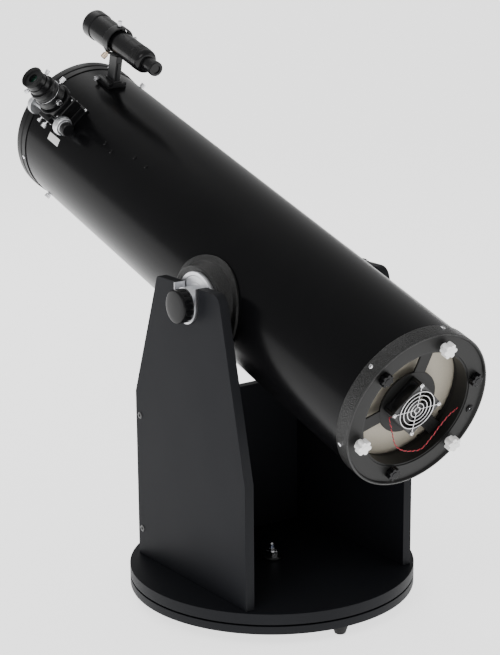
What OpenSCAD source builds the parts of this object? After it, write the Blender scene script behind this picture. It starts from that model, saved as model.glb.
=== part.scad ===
// Dobsonian telescope: a 305 mm steel Newtonian tube in a laminate rocker box.
// Frame: +Z up, +Y where the sky end of the tube points, +X to the right.
// Origin: where the azimuth axis meets the ground.

/* [Tube] */
// Outer diameter of the steel tube
tube_d = 305; // [255:1:366]
// Wall of the steel tube
tube_wall = 1.2; // [0.8:0.1:2]
// Rear rim to the altitude axis
tube_back = 450; // [375:1:540]
// Altitude axis to the sky end
tube_front = 758; // [640:1:910]
// Angle of the tube above the horizon
tube_tilt = 17.9; // [0:0.1:60]
// Width of the front end ring
front_ring_w = 34; // [28:1:41]
// Width of the rear casting's skirt
rear_ring_w = 32; // [27:1:40]

/* [Rocker box] */
// Thickness of the rotating board
top_board_t = 21.5; // [18:0.5:26]
// Thickness of the ground board
ground_board_t = 16.2; // [13.5:0.1:20]
// Gap seen between the two boards
board_gap = 3.3; // [2.8:0.1:4]
// Margin of board outside the panel corners
board_rim = 6.5; // [5:0.5:10]
// Height of the feet
foot_h = 24; // [20:1:29]
// Thickness of the side panels and the brace
panel_t = 19.8; // [16.5:0.1:24]
// Altitude axis to the rear edge of a panel, at the board
panel_back = 182.5; // [170:0.5:219]
// Height of a panel's straight front edge
front_knee_h = 343; // [286:1:412]
// Height of a panel's straight rear edge
rear_knee_h = 245; // [204:1:294]
// Panel top above the altitude axis
panel_head = 37.5; // [32:0.5:45]
// Width of a panel's top, in front of the axis
head_front = 106.5; // [90:0.5:125]
// Width of a panel's top, behind the axis
head_back = 108.5; // [90:0.5:125]
// Height of the front brace
brace_h = 314; // [262:1:377]
// Clearance between the upright tube and the brace
swing_gap = 8.4; // [6:0.1:20]
// Clearance under the swinging tube
floor_gap = 35.2; // [34:0.1:60]

/* [Altitude bearings] */
// Tube wall to the inner face of a panel
bearing_reach = 28.3; // [27:0.1:34]
// Radius of the aluminium disc
disc_r = 60; // [50:0.5:60]
// Radius of the slot in a panel
slot_r = 36; // [32:0.5:43]
// Thickness of the steel cradle
cradle_t = 1.8; // [1.5:0.1:2.2]
// Radius of an altitude knob
knob_r = 32.5; // [27:0.5:39]
// Height of an altitude knob
knob_h = 23; // [19:0.5:28]
// Half the travel of the balance slide
balance_travel = 25; // [20:1:25]

/* [Azimuth bearing] */
// Mean radius of the roller bearing
race_r = 80; // [67:1:96]
// Rollers in the cage
roller_n = 24; // [16:1:28]
// Radius of the pivot bolt
pivot_r = 5; // [4:0.5:6]

/* [Mirror end] */
// Gap between the primary mirror and the tube's outside
mirror_margin = 25.5; // [23:0.5:30]
// Thickness of the primary mirror
mirror_t = 32; // [27:0.5:38]
// Focal length of the primary mirror
focal_length = 1250; // [1040:10:1500]
// Side of the cooling fan
fan_size = 80; // [67:1:96]
// Thickness of the cooling fan
fan_t = 25; // [21:0.5:28]

/* [Focuser and secondary] */
// Angle of the focuser round the tube, up from the left side
focuser_angle = 42; // [30:1:50]
// Focuser axis behind the sky end
focuser_setback = 116; // [112:1:140]
// Outer radius of the drawtube
drawtube_r = 27.5; // [27:0.1:28]
// Minor diameter of the secondary mirror
secondary_d = 63; // [52:1:75]

/* [Finder] */
// Angle of the finder round the tube, up from the left side
finder_angle = 88; // [84:1:100]
// Finder bracket behind the sky end
finder_setback = 107; // [95:1:130]
// Height of the finder's axis over the tube
finder_h = 99.5; // [90:0.5:119]
// Radius of the finder's main tube
finder_r = 28.8; // [24:0.1:29.5]

/* [Hidden] */
$fn = 96;

fit = 0.08;      // running fit of a shaft in its hole
gap = 0.3;       // clearance between pieces that move apart
seat = 0.05;     // assembly clearance between pieces that stay together
eps = 0.5;       // overshoot of a cutting tool

// tube, rings and rocker box
tube_r = tube_d / 2;
bore_r = tube_r - tube_wall;
ring_wall = 3.1;
ring_r = tube_r + ring_wall;
front_skirt_wall = 1.7;
front_bead_w = 18;
front_lip_w = 6;
lip_t = 3;
flange_recess = 4;
flange_t = 5;
rear_face = -tube_back + flange_recess;
rear_inside = rear_face + flange_t;
front_inside = tube_front - lip_t;

panel_in = tube_r + bearing_reach;
panel_out = panel_in + panel_t;
axis_y = -9.5;
ground_top = foot_h + ground_board_t;
top_board_z = ground_top + board_gap;
board_top = top_board_z + top_board_t;
knob_reach = 23;
axis_z = board_top + floor_gap
    + norm([tube_back + balance_travel + knob_reach, tube_r - mirror_margin + 16.5]);
panel_top = axis_z + panel_head;
brace_in = axis_y + ring_r + swing_gap;
brace_setback = 5;
panel_front = brace_in + panel_t + brace_setback;
panel_rear = axis_y - panel_back;
board_r = norm([panel_out, max(-panel_rear, panel_front)]) + board_rim;
head_corner_r = 24;
screw_heights = [board_top + 57.5, board_top + 295];
side_screw_l = 44;
upright_ys = [panel_rear + 42, axis_y + 10, panel_front - 70];
upright_screw_l = 40;
wood_screw_r = 3;

// feet
foot_r = 17;
foot_toe_r = 11;
foot_angles = [24, 144, 264];
foot_ring_r = board_r - 28;

// azimuth bearing
race_w = 40;
race_t = 1.5;
race_pocket = 2;
race_space = board_gap + 2 * race_pocket - 2 * race_t;
roller_r = race_space / 2 - seat;
roller_l = 26;
cage_t = 2.5;
race_mid_z = ground_top - race_pocket + race_t + race_space / 2;
pivot_h = 32;

// altitude bearing, measured outward from the tube's axis
disc_t = 8;
disc_out = panel_in - gap;
disc_in = disc_out - disc_t;
housing_face = disc_in - gap;
cradle_r = slot_r - cradle_t;
boss_r = cradle_r - fit;
boss_out = panel_out + 5.4;
cradle_proud = 4.5;
stud_r = 4;
slide_nut = [6, 26, 14];
slide_nut_x = tube_r + 5.5;
housing_foot = [disc_r + 39, disc_r + 21];
housing_head = [disc_r + 26, disc_r + 8];
housing_foot_t = 6;
housing_step = 3;

// mirror end, as stations along the tube from the altitude axis
mirror_r = tube_r - mirror_margin;
bolt_circle = mirror_r + 2;
window_r = mirror_r - 9;
cup_wall = 4;
hub_t = 5;
hub_face = rear_face + fan_t + 1;
hub_r = fan_size * sqrt(1 / 2) + 5.4;
spoke_w = 27;
collimation_angles = [79, 199, 319];
lock_angles = [19, 139, 259];
cell_t = 10;
cell_face = hub_face + hub_t + 3;
mirror_face = cell_face + cell_t + 4;
cell_outer_r = mirror_r + 9;
cell_bolt_r = 3;
fan_turn = 47.5;
fan_hole_r = fan_size / 2 - 2;
fan_screw_pitch = fan_size - 8.5;
fan_screw_r = 2;
fan_back = rear_face + 0.8;
socket_angle = -10.6;
socket_r = 6;
socket_ring = bolt_circle + 5;

// wire from the fan to the power socket: right, up, and forward of the rear rim
wire_r = 1.2;
wire_route = [
    [-46.2, -12.3, 16], [-48.5, -14.8, 16], [-49.5, -19, 14], [-47, -27, 11], [-44, -36, 9],
    [-40, -47, 7], [-36, -57, 6], [-30, -68, 5], [-21, -77, 5], [-10, -84, 5], [3, -89, 5],
    [17, -92, 5], [29, -93, 5], [39, -91, 5], [48, -84, 6], [55, -74, 6], [61, -64, 5],
    [66, -54, 5], [73, -45, 5], [81, -36, 6], [90, -29, 7], [99, -26, 9], [107, -25, 12],
    [window_r - 5, -24.6, 14], [window_r + 1, -24.6, 15], [window_r + 7.2, -24.6, 15]
];

// focuser, as heights over the tube's surface
focuser_s = tube_front - focuser_setback;
pad_front = 39.5;
focuser_pad = [60, 53, 4.2];
focuser_block = [50, 46, 13.5];
body_size = [56, 42, 23.4];
body_front = pad_front - 1.5;
collar_r = 36;
collar_h = 9;
body_z = focuser_block[2] + 0.1;
collar_z = body_z + body_size[2];
shaft_r = 3;
shaft_x = -(drawtube_r + shaft_r + 0.1);
shaft_h = 25.5;
coarse_knob_r = 20.5;
coarse_knob_w = 16;
coarse_knob_y = focuser_pad[1] - 4;
fine_knob_r = 14.5;
fine_knob_w = 14.5;
drawtube_wall = 2.05;
draw_collar_z = collar_z + collar_h + 6.5;
draw_collar_h = 17.5;
draw_collar_r = drawtube_r + 4;
draw_lip_z = draw_collar_z + draw_collar_h;
draw_lip_h = 1.5;
barrel_2in_r = drawtube_r - drawtube_wall - fit;
adapter_z = draw_lip_z + draw_lip_h + gap;
adapter_grip_h = 20;
adapter_grip_r = 28.5;
adapter_neck_h = 13.5;
adapter_neck_r = 24;
barrel_bore_r = 15.95;
eyepiece_z = adapter_z + adapter_grip_h + adapter_neck_h + gap;
eyepiece_body_h = 13;
eyepiece_body_r = 22.5;
eye_seat_r = 18.5;
eyecup_h = 9;
eyecup_r = 24;
clamp_screw_r = 2;
tension_h = shaft_h;
bridge_x = shaft_x - 13.5;

// spider and secondary mirror
vane_angles = [40, 130, 220, 310];
vane_s = focuser_s + 47;
vane_t = 1;
vane_w = 22;
vane_stud_r = 2;
spider_hub_r = 16;
spider_hub_w = 16;
bolt_grip = 6;
secondary_t = 8;
holder_r = secondary_d / 2 - 2.5;
holder_back = focuser_s + 30;
centre_bolt_r = 3;
tilt_screw_r = 1.6;

// finder, along its own axis from the bracket's station
finder_s = tube_front - finder_setback;
finder_nose = 92;
finder_tail = 127;
finder_eye_l = 35;
finder_eye_r = 14.5;
finder_cell_r = finder_r + 1.7;
finder_cell_l = 28;
finder_tail_r = finder_r - 3.5;
finder_wall = 2.3;
ring_in_r = finder_r;
ring_out_r = ring_in_r + 3.4;
ring_w = 20;
ring_y = -7;
finder_step = ring_y + ring_w / 2 + 1;
stalk = [15, 30];
dovetail = [31, 25, 7];
shoe = [44, 50, 11];
shoe_floor = 4;
screw_tip = finder_tail_r + gap;

function arc(c, r, a0, a1, n) =
    [for (i = [0 : n]) c + r * [cos(a0 + (a1 - a0) * i / n), sin(a0 + (a1 - a0) * i / n)]];
function oval(a, n = 72) = [for (i = [0 : n - 1]) [a[0] * cos(360 * i / n), a[1] * sin(360 * i / n)]];
function unit(v) = v / norm(v);
function direction(p, i) = unit(p[min(i + 1, len(p) - 1)] - p[max(i - 1, 0)]);

// origin on the altitude axis, Y along the tube towards the sky
module tube_frame() {
    translate([0, axis_y, axis_z]) rotate([tube_tilt, 0, 0]) children();
}

// Z along the tube from station s, X to the right
module at_station(s) {
    tube_frame() translate([0, s, 0]) rotate([-90, 0, 0]) children();
}

// place on a circle round the tube's axis: angle up from the right side
module spot(angle, r) {
    rotate([0, 0, -angle]) translate([r, 0, 0]) children();
}

// Z straight out of the tube, Y along it, at an angle up from the left side
module out_of_tube(angle, s) {
    tube_frame() translate([0, s, 0]) rotate([0, angle - 90, 0]) children();
}

// a solid drawn for the right-hand side, moved to the left
module left_side() {
    mirror([1, 0, 0]) children();
}

module x_rod(r, x0, x1) {
    translate([x0, 0, 0]) rotate([0, 90, 0]) cylinder(r = r, h = x1 - x0);
}

module y_rod(r, y0, y1) {
    translate([0, y0, 0]) rotate([-90, 0, 0]) cylinder(r = r, h = y1 - y0);
}

module pipe(r_out, r_in, h) {
    difference() {
        cylinder(r = r_out, h = h);
        translate([0, 0, -eps]) cylinder(r = r_in, h = h + 2 * eps);
    }
}

// a round tube along the points p; its rings stay upright to the Z axis
module swept(p, r, sides) {
    n = len(p);
    verts = [for (i = [0 : n - 1])
        let (t = direction(p, i), u = unit(cross(t, [0, 0, 1])), v = cross(u, t))
        for (k = [0 : sides - 1]) p[i] + r * (cos(360 * k / sides) * u + sin(360 * k / sides) * v)];
    walls = [for (i = [0 : n - 2]) for (k = [0 : sides - 1])
        [i * sides + k, (i + 1) * sides + k,
         (i + 1) * sides + (k + 1) % sides, i * sides + (k + 1) % sides]];
    caps = [[for (k = [0 : sides - 1]) k], [for (k = [sides - 1 : -1 : 0]) (n - 1) * sides + k]];
    polyhedron(verts, concat(walls, caps));
}

// ---- rocker box ----

module race_cut(z) {
    translate([0, 0, z]) pipe(race_r + race_w / 2 + 2, race_r - race_w / 2 - 2, race_pocket + eps);
}

module ground_board() {
    color("dimgray") difference() {
        translate([0, 0, foot_h]) cylinder(r = board_r, h = ground_board_t, $fn = 180);
        translate([0, 0, foot_h - eps]) cylinder(r = pivot_r + seat, h = ground_board_t + 2 * eps);
        race_cut(ground_top - race_pocket);
    }
}

module feet() {
    color("darkslategray") for (a = foot_angles)
        rotate([0, 0, a]) translate([foot_ring_r, 0, 0]) difference() {
            rotate_extrude() polygon([
                [0, 0], [foot_toe_r - 2, 0], [foot_toe_r, 2], [foot_r, foot_h - 4],
                [foot_r, foot_h], [0, foot_h]
            ]);
            translate([0, 0, -eps]) cylinder(r = 5, h = foot_h / 2 + eps);
        }
}

module race() {
    pipe(race_r + race_w / 2, race_r - race_w / 2, race_t);
}

module azimuth_lower_race() {
    color("silver") translate([0, 0, ground_top - race_pocket]) race();
}

module azimuth_upper_race() {
    color("silver") translate([0, 0, top_board_z + race_pocket - race_t]) race();
}

module azimuth_roller_cage() {
    color("gainsboro") translate([0, 0, race_mid_z]) {
        difference() {
            translate([0, 0, -cage_t / 2]) pipe(race_r + 18, race_r - 18, cage_t);
            for (i = [0 : roller_n - 1]) rotate([0, 0, 360 * i / roller_n]) translate([race_r, 0, 0])
                cube([roller_l + 2 * gap, 2 * roller_r + gap, cage_t + eps], center = true);
        }
        for (i = [0 : roller_n - 1]) rotate([0, 0, 360 * i / roller_n])
            x_rod(roller_r, race_r - roller_l / 2, race_r + roller_l / 2);
    }
}

module pivot_bolt() {
    color("lightslategray") {
        translate([0, 0, foot_h - 6]) cylinder(r = 10, h = 6);
        translate([0, 0, foot_h - eps]) cylinder(r = pivot_r, h = board_top + pivot_h - foot_h - 1.5);
        translate([0, 0, board_top + pivot_h - 2.5]) cylinder(r1 = pivot_r, r2 = pivot_r - 2, h = 2.5);
    }
}

module pivot_nut() {
    washer_t = 5;
    color("silver") translate([0, 0, board_top + gap]) difference() {
        union() {
            cylinder(r = 22, h = washer_t);
            translate([0, 0, washer_t - eps]) cylinder(r = 11, h = 10, $fn = 6);
            translate([0, 0, washer_t + 9]) cylinder(r = 7.5, h = 7);
        }
        translate([0, 0, -eps]) cylinder(r = pivot_r + fit, h = 30);
    }
}

// screws that rise through the rotating board into the panels
module upright_screws(extra) {
    for (side = [-1, 1], y = upright_ys) translate([side * (panel_in + panel_t / 2), y, 0]) {
        translate([0, 0, top_board_z - eps * sign(extra)])
            cylinder(r = 6 + extra, h = 4 + eps * sign(extra));
        translate([0, 0, top_board_z + 3])
            cylinder(r = wood_screw_r + extra, h = top_board_t - 3 + upright_screw_l + extra);
    }
}

// screws that cross a panel into the end of the brace
module side_screws(extra) {
    for (side = [0, 1], z = screw_heights) mirror([side, 0, 0]) translate([0, brace_in + panel_t / 2, z])
        x_rod(wood_screw_r + extra, panel_out - side_screw_l - extra, panel_out + extra);
}

module base_board() {
    color("dimgray") difference() {
        translate([0, 0, top_board_z]) cylinder(r = board_r, h = top_board_t, $fn = 180);
        translate([0, 0, top_board_z - eps]) cylinder(r = pivot_r + fit, h = top_board_t + 2 * eps);
        race_cut(top_board_z - eps);
        upright_screws(seat);
    }
}

// outline of a side panel in the Y-Z plane
module panel_outline() {
    polygon(concat(
        [[panel_rear, board_top], [panel_front, board_top], [panel_front, board_top + front_knee_h]],
        arc([axis_y + head_front - 10, panel_top - 8], 8, 20, 90, 6),
        arc([axis_y - head_back + head_corner_r, panel_top - head_corner_r], head_corner_r, 90, 168, 10),
        [[panel_rear, board_top + rear_knee_h]]
    ));
}

// U-shaped prism that follows a slot of radius r, from x0 to x1
module slot_prism(r, x0, x1, rise) {
    translate([0, axis_y, axis_z]) {
        x_rod(r, x0, x1);
        translate([x0, -r, 0]) cube([x1 - x0, 2 * r, rise]);
    }
}

module right_panel_solid() {
    color("dimgray") difference() {
        translate([panel_in, 0, 0]) rotate([90, 0, 90]) linear_extrude(panel_t) panel_outline();
        slot_prism(slot_r, panel_in - eps, panel_out + eps, panel_head + eps);
        upright_screws(seat);
        side_screws(seat);
    }
}

module right_panel() {
    right_panel_solid();
}

module left_panel() {
    left_side() right_panel_solid();
}

module front_brace() {
    color("dimgray") difference() {
        translate([-panel_in, brace_in, board_top]) cube([2 * panel_in, panel_t, brace_h]);
        side_screws(seat);
    }
}

module panel_screws() {
    color("black") {
        upright_screws(0);
        side_screws(0);
        for (side = [0, 1], z = screw_heights) mirror([side, 0, 0])
            translate([0, brace_in + panel_t / 2, z]) x_rod(6, panel_out, panel_out + 1.6);
    }
}

module right_cradle_solid() {
    color("silver") difference() {
        slot_prism(slot_r - seat, panel_in + 0.2, panel_out + cradle_proud, panel_head);
        slot_prism(cradle_r, panel_in, panel_out + cradle_proud + eps, panel_head + eps);
    }
}

module cradles() {
    right_cradle_solid();
    left_side() right_cradle_solid();
}

// ---- altitude bearings ----

module right_hub_solid() {
    color("gainsboro") tube_frame() {
        difference() {
            union() {
                x_rod(disc_r, disc_in, disc_out);
                x_rod(boss_r, disc_out - eps, boss_out);
            }
            x_rod(stud_r + fit, disc_in - eps, boss_out + eps);
        }
        difference() {
            translate([slide_nut_x, -slide_nut[1] / 2, -slide_nut[2] / 2]) cube(slide_nut);
            x_rod(stud_r + fit, slide_nut_x - eps, slide_nut_x + slide_nut[0] + eps);
        }
    }
}

module right_bearing_hub() {
    right_hub_solid();
}

module left_bearing_hub() {
    left_side() right_hub_solid();
}

module oval_prism(a, x0, x1) {
    translate([x0, 0, 0]) rotate([90, 0, 90]) linear_extrude(x1 - x0) polygon(oval(a));
}

module right_housing_solid() {
    slot_w = stud_r + 0.5;
    pocket = [slide_nut_x + slide_nut[0] + 1.5, balance_travel + slide_nut[1] / 2 + 1, slide_nut[2] / 2 + 1];
    inner_x = sqrt(tube_r * tube_r - pow(housing_foot[1], 2)) - 6;
    color("black") tube_frame() difference() {
        union() {
            intersection() {
                oval_prism(housing_foot, inner_x, tube_r + housing_foot_t + 1);
                y_rod(tube_r + housing_foot_t, -housing_foot[0] - 1, housing_foot[0] + 1);
            }
            oval_prism(housing_head, inner_x, housing_face - housing_step);
            oval_prism(housing_head - [3, 3], inner_x, housing_face);
        }
        y_rod(tube_r + seat, -housing_foot[0] - 2, housing_foot[0] + 2);
        translate([tube_r - 3, -pocket[1], -pocket[2]])
            cube([pocket[0] - tube_r + 3, 2 * pocket[1], 2 * pocket[2]]);
        for (y = [-1, 1]) translate([0, y * balance_travel, 0]) x_rod(slot_w, tube_r, housing_face + eps);
        translate([tube_r, -balance_travel, -slot_w])
            cube([housing_face + eps - tube_r, 2 * balance_travel, 2 * slot_w]);
    }
}

module right_slide_housing() {
    right_housing_solid();
}

module left_slide_housing() {
    left_side() right_housing_solid();
}

module right_knob_solid() {
    flute_n = 14;
    color("black") tube_frame() {
        difference() {
            x_rod(knob_r, boss_out + gap, boss_out + gap + knob_h);
            for (i = [0 : flute_n - 1]) rotate([360 * i / flute_n, 0, 0]) translate([0, knob_r + 2.6, 0])
                x_rod(4.2, boss_out, boss_out + gap + knob_h - 4, $fn = 24);
        }
        x_rod(stud_r, slide_nut_x - 1.5, boss_out + gap + 1);
    }
}

module right_altitude_knob() {
    right_knob_solid();
}

module left_altitude_knob() {
    left_side() right_knob_solid();
}

// ---- tube and its rings ----

ring_screw_s = [tube_front - 27, -tube_back + 21];
ring_screw_angles = [[-16, 104, 224], [-19, 41, 101, 161, 221, 281]];
ring_screw_r = 2;

module ring_screw_rods(extra, h0, h1) {
    for (end = [0, 1], a = ring_screw_angles[end]) out_of_tube(a, ring_screw_s[end])
        translate([0, 0, h0]) cylinder(r = ring_screw_r + extra, h = h1 - h0, $fn = 32);
}

module tube() {
    color("black") difference() {
        at_station(rear_inside + 0.1) difference() {
            cylinder(r = tube_r, h = front_inside - rear_inside - 0.2, $fn = 180);
            translate([0, 0, -eps]) cylinder(r = bore_r, h = front_inside - rear_inside + eps, $fn = 180);
        }
        out_of_tube(focuser_angle, focuser_s)
            translate([0, 0, tube_r - 30]) cylinder(r = drawtube_r + 2, h = 60);
        for (a = vane_angles) out_of_tube(a, vane_s)
            translate([0, 0, bore_r - 5]) cylinder(r = vane_stud_r + seat, h = 12, $fn = 32);
        ring_screw_rods(seat, bore_r - 5, tube_r + 5);
    }
}

module front_ring() {
    color("black") difference() {
        at_station(tube_front) rotate_extrude($fn = 180) polygon([
            [tube_r + seat, -front_ring_w], [tube_r + front_skirt_wall, -front_ring_w],
            [tube_r + front_skirt_wall, -front_bead_w], [ring_r, -front_bead_w + 2],
            [ring_r, -1.5], [ring_r - 1.5, 0],
            [tube_r - front_lip_w, 0], [tube_r - front_lip_w, -lip_t], [tube_r + seat, -lip_t]
        ]);
        ring_screw_rods(seat, bore_r - 5, ring_r + 5);
    }
}

module rear_ring() {
    color("black") difference() {
        union() {
            at_station(-tube_back) rotate_extrude($fn = 180) polygon([
                [tube_r + seat, rear_ring_w], [ring_r - 0.8, rear_ring_w], [ring_r, rear_ring_w - 1],
                [ring_r, 1.2], [ring_r - 1.2, 0], [ring_r - 4, 0], [ring_r - 5, flange_recess],
                [window_r, flange_recess], [window_r, flange_recess + flange_t],
                [tube_r + seat, flange_recess + flange_t]
            ]);
            at_station(rear_face) pipe(window_r + 1, window_r - cup_wall, hub_face + hub_t - rear_face);
        }
        at_station(rear_face - eps) {
            for (a = collimation_angles) spot(a, bolt_circle)
                cylinder(r = cell_bolt_r + fit, h = flange_t + 2 * eps);
            for (a = lock_angles) spot(a, bolt_circle)
                cylinder(r = cell_bolt_r + fit, h = flange_t + 2 * eps);
            spot(socket_angle, socket_ring) cylinder(r = socket_r + seat, h = flange_t + 2 * eps);
        }
        // grommet hole for the fan's wire
        at_station(-tube_back + wire_route[len(wire_route) - 1][2]) translate([window_r - 8, 24.6, 0])
            rotate([0, 90, 0]) cylinder(r = 2.6, h = 12);
        ring_screw_rods(seat, bore_r - 5, ring_r + 5);
    }
}

// hub plate that carries the fan, on three spokes inside the rear ring's cup
module fan_spider() {
    color("black") difference() {
        intersection() {
            at_station(hub_face) union() {
                cylinder(r = hub_r, h = hub_t);
                for (a = collimation_angles) spot(a, hub_r - 4)
                    translate([0, -spoke_w / 2, 0.5]) cube([window_r - hub_r + 2, spoke_w, hub_t - 1]);
            }
            at_station(hub_face - 1) cylinder(r = window_r - cup_wall - seat, h = hub_t + 2);
        }
        at_station(hub_face - eps) {
            cylinder(r = fan_hole_r, h = hub_t + 2 * eps);
            for (i = [0 : 3]) spot(fan_turn + 45 + 90 * i, fan_screw_pitch * sqrt(1 / 2))
                cylinder(r = fan_screw_r + seat, h = hub_t + 2 * eps);
        }
    }
}

module ring_screws() {
    color("silver") {
        ring_screw_rods(0, bore_r - 2, ring_r + 0.5);
        for (end = [0, 1], a = ring_screw_angles[end]) out_of_tube(a, ring_screw_s[end])
            translate([0, 0, end == 0 ? tube_r + front_skirt_wall + seat : ring_r + seat]) {
                cylinder(r = 4.2, h = 1.4);
                translate([0, 0, 1.4]) cylinder(r1 = 4.2, r2 = 2.6, h = 1.2);
            }
    }
}

// ---- secondary mirror ----

module spider() {
    stud_out = tube_r + 10;
    notch_r = secondary_d / 2 + 3;
    notch_y = focuser_s + secondary_d / 2 + secondary_t * sqrt(2) + 1 - vane_s;
    color("black") {
        difference() {
            union() {
                at_station(vane_s - spider_hub_w / 2) cylinder(r = spider_hub_r, h = spider_hub_w);
                for (a = vane_angles) out_of_tube(a, vane_s) {
                    translate([-vane_t / 2, 0, 0]) rotate([90, 0, 90]) linear_extrude(vane_t)
                        polygon([[notch_y, spider_hub_r - 1], [vane_w / 2, spider_hub_r - 1],
                            [vane_w / 2, bore_r - 3], [-vane_w / 2, bore_r - 3],
                            [-vane_w / 2, notch_r], [notch_y, notch_r]]);
                    translate([-4, -vane_w / 2, bore_r - 4]) cube([8, vane_w, 2.5]);
                    translate([0, 0, bore_r - 3])
                        cylinder(r = vane_stud_r, h = stud_out - bore_r + 3, $fn = 32);
                }
            }
            at_station(vane_s - spider_hub_w) {
                cylinder(r = centre_bolt_r + seat, h = 2 * spider_hub_w);
                for (i = [0 : 2]) spot(120 * i + 30, spider_hub_r - 6)
                    cylinder(r = tilt_screw_r + seat, h = 2 * spider_hub_w);
            }
        }
        at_station(holder_back - bolt_grip)
            cylinder(r = centre_bolt_r, h = vane_s + spider_hub_w / 2 - holder_back + bolt_grip + 1);
        at_station(vane_s + spider_hub_w / 2) cylinder(r = 5.5, h = 5);
        for (i = [0 : 2]) at_station(holder_back + 0.2) spot(120 * i + 30, spider_hub_r - 6)
            cylinder(r = tilt_screw_r, h = vane_s + spider_hub_w / 2 - holder_back + 3);
    }
}

module vane_nuts() {
    color("silver") for (a = vane_angles) out_of_tube(a, vane_s) translate([0, 0, tube_r + seat])
        difference() {
            union() {
                cylinder(r = 4, h = 10);
                translate([0, 0, 2]) cylinder(r = 6.2, h = 8.6);
            }
            translate([0, 0, -eps]) cylinder(r = vane_stud_r + seat, h = 10.5, $fn = 32);
        }
}

// everything on the mirror's side of a plane that lies at 45 degrees, d behind the face
module behind_mirror(d, thick) {
    size = 4 * secondary_d;
    rotate([45, 0, 0]) translate([-size / 2, -size / 2, -d - thick]) cube([size, size, thick]);
}

module secondary_mirror() {
    color("lightsteelblue") out_of_tube(focuser_angle, focuser_s) intersection() {
        y_rod(secondary_d / 2, -secondary_d, secondary_d);
        behind_mirror(0, secondary_t);
    }
}

module secondary_holder() {
    color("black") difference() {
        out_of_tube(focuser_angle, focuser_s) intersection() {
            y_rod(holder_r, -secondary_d, holder_back - focuser_s);
            behind_mirror(secondary_t + seat, 3 * secondary_d);
        }
        at_station(holder_back - bolt_grip - 1) cylinder(r = centre_bolt_r + seat, h = 20);
    }
}

// ---- primary mirror and its cell ----

module primary_mirror() {
    color("lightsteelblue") at_station(mirror_face) difference() {
        cylinder(r = mirror_r, h = mirror_t, $fn = 180);
        translate([0, 0, mirror_t + 2 * focal_length - pow(mirror_r, 2) / (4 * focal_length)])
            sphere(r = 2 * focal_length, $fn = 720);
    }
}

module mirror_cell() {
    post_l = cell_t + 4 + mirror_t;
    color("black") at_station(cell_face) difference() {
        union() {
            pipe(cell_outer_r, window_r + 1, cell_t);
            for (a = collimation_angles, off = [-14, 14])
                spot(a + off, window_r + 5) translate([0, 0, 2]) cylinder(r = 3.5, h = cell_t + 2 - seat);
            for (a = lock_angles) spot(a, mirror_r + 1) {
                translate([0, -9, 0]) cube([5, 18, post_l]);
                translate([-7, -9, post_l + 0.4]) cube([12, 18, 3]);
                translate([0, -9, post_l - 1]) cube([5, 18, 2]);
            }
        }
        for (a = collimation_angles) spot(a, bolt_circle)
            translate([0, 0, -eps]) cylinder(r = cell_bolt_r + fit, h = cell_t + 2 * eps);
    }
}

module collimation_springs() {
    coil_r = 6.6;
    coil_wire_r = 0.9;
    turns = 5;
    steps = 12;
    length = cell_face - rear_inside - 2 * coil_wire_r - 2 * seat;
    color("silver") at_station(rear_inside + coil_wire_r + seat) for (a = collimation_angles)
        spot(a, bolt_circle) swept([for (i = [0 : turns * steps])
            [coil_r * cos(360 * i / steps), coil_r * sin(360 * i / steps), length * i / (turns * steps)]],
            coil_wire_r, 6);
}

module collimation_knob(i) {
    lobe_n = 6;
    color("ivory") at_station(rear_face) spot(collimation_angles[i], bolt_circle) {
        translate([0, 0, -gap - 6]) cylinder(r = 7, h = 6);
        translate([0, 0, -gap - 22]) {
            cylinder(r = 10.5, h = 16.5);
            for (k = [0 : lobe_n - 1]) rotate([0, 0, 360 * k / lobe_n]) translate([10, 0, 1])
                cylinder(r = 4.4, h = 14.5, $fn = 32);
        }
        translate([0, 0, -gap - 1]) cylinder(r = cell_bolt_r, h = cell_face + cell_t - 1 - rear_face + gap);
    }
}

module collimation_knob_1() {
    collimation_knob(0);
}

module collimation_knob_2() {
    collimation_knob(1);
}

module collimation_knob_3() {
    collimation_knob(2);
}

module lock_knob(i) {
    grip_n = 9;
    color("black") at_station(rear_face) spot(lock_angles[i], bolt_circle) {
        translate([0, 0, -gap - 12]) {
            cylinder(r = 11, h = 12);
            for (k = [0 : grip_n - 1]) rotate([0, 0, 360 * k / grip_n]) translate([10.4, 0, 0])
                cylinder(r = 2.5, h = 10.5, $fn = 24);
        }
        translate([0, 0, -gap - 1]) cylinder(r = cell_bolt_r, h = cell_face - rear_face + 1);
    }
}

module lock_knob_1() {
    lock_knob(0);
}

module lock_knob_2() {
    lock_knob(1);
}

module lock_knob_3() {
    lock_knob(2);
}

// ---- cooling fan ----

module fan_screw_places() {
    half = fan_screw_pitch / 2;
    for (x = [-half, half], y = [-half, half]) translate([x, y, 0]) children();
}

module fan_place() {
    at_station(fan_back) rotate([0, 0, -fan_turn]) children();
}

motor_r = 16;
motor_t = 3.3;
fan_depth = hub_face - fan_back - 0.2;

module fan_frame() {
    color("black") fan_place() {
        difference() {
            translate([-fan_size / 2, -fan_size / 2, 0]) cube([fan_size, fan_size, fan_depth]);
            translate([0, 0, -eps]) cylinder(r = fan_hole_r, h = fan_depth + 2 * eps);
            translate([0, 0, -eps]) fan_screw_places()
                cylinder(r = fan_screw_r + seat, h = fan_depth + 2 * eps);
            // the four sides are relieved between the two flanges
            for (i = [0 : 3]) rotate([0, 0, 90 * i]) translate([fan_hole_r + 1.2, -fan_size / 4, 4])
                cube([fan_size, fan_size / 2, fan_depth - 8]);
        }
        translate([0, 0, fan_depth - motor_t]) {
            cylinder(r = motor_r, h = motor_t);
            for (i = [0 : 3]) rotate([0, 0, 90 * i + 20]) translate([motor_r - 1, -2, 0])
                cube([fan_hole_r - motor_r + 2, 4, motor_t]);
        }
        translate([0, 0, 6]) cylinder(r = 2, h = fan_depth - motor_t - 5);
    }
}

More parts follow.
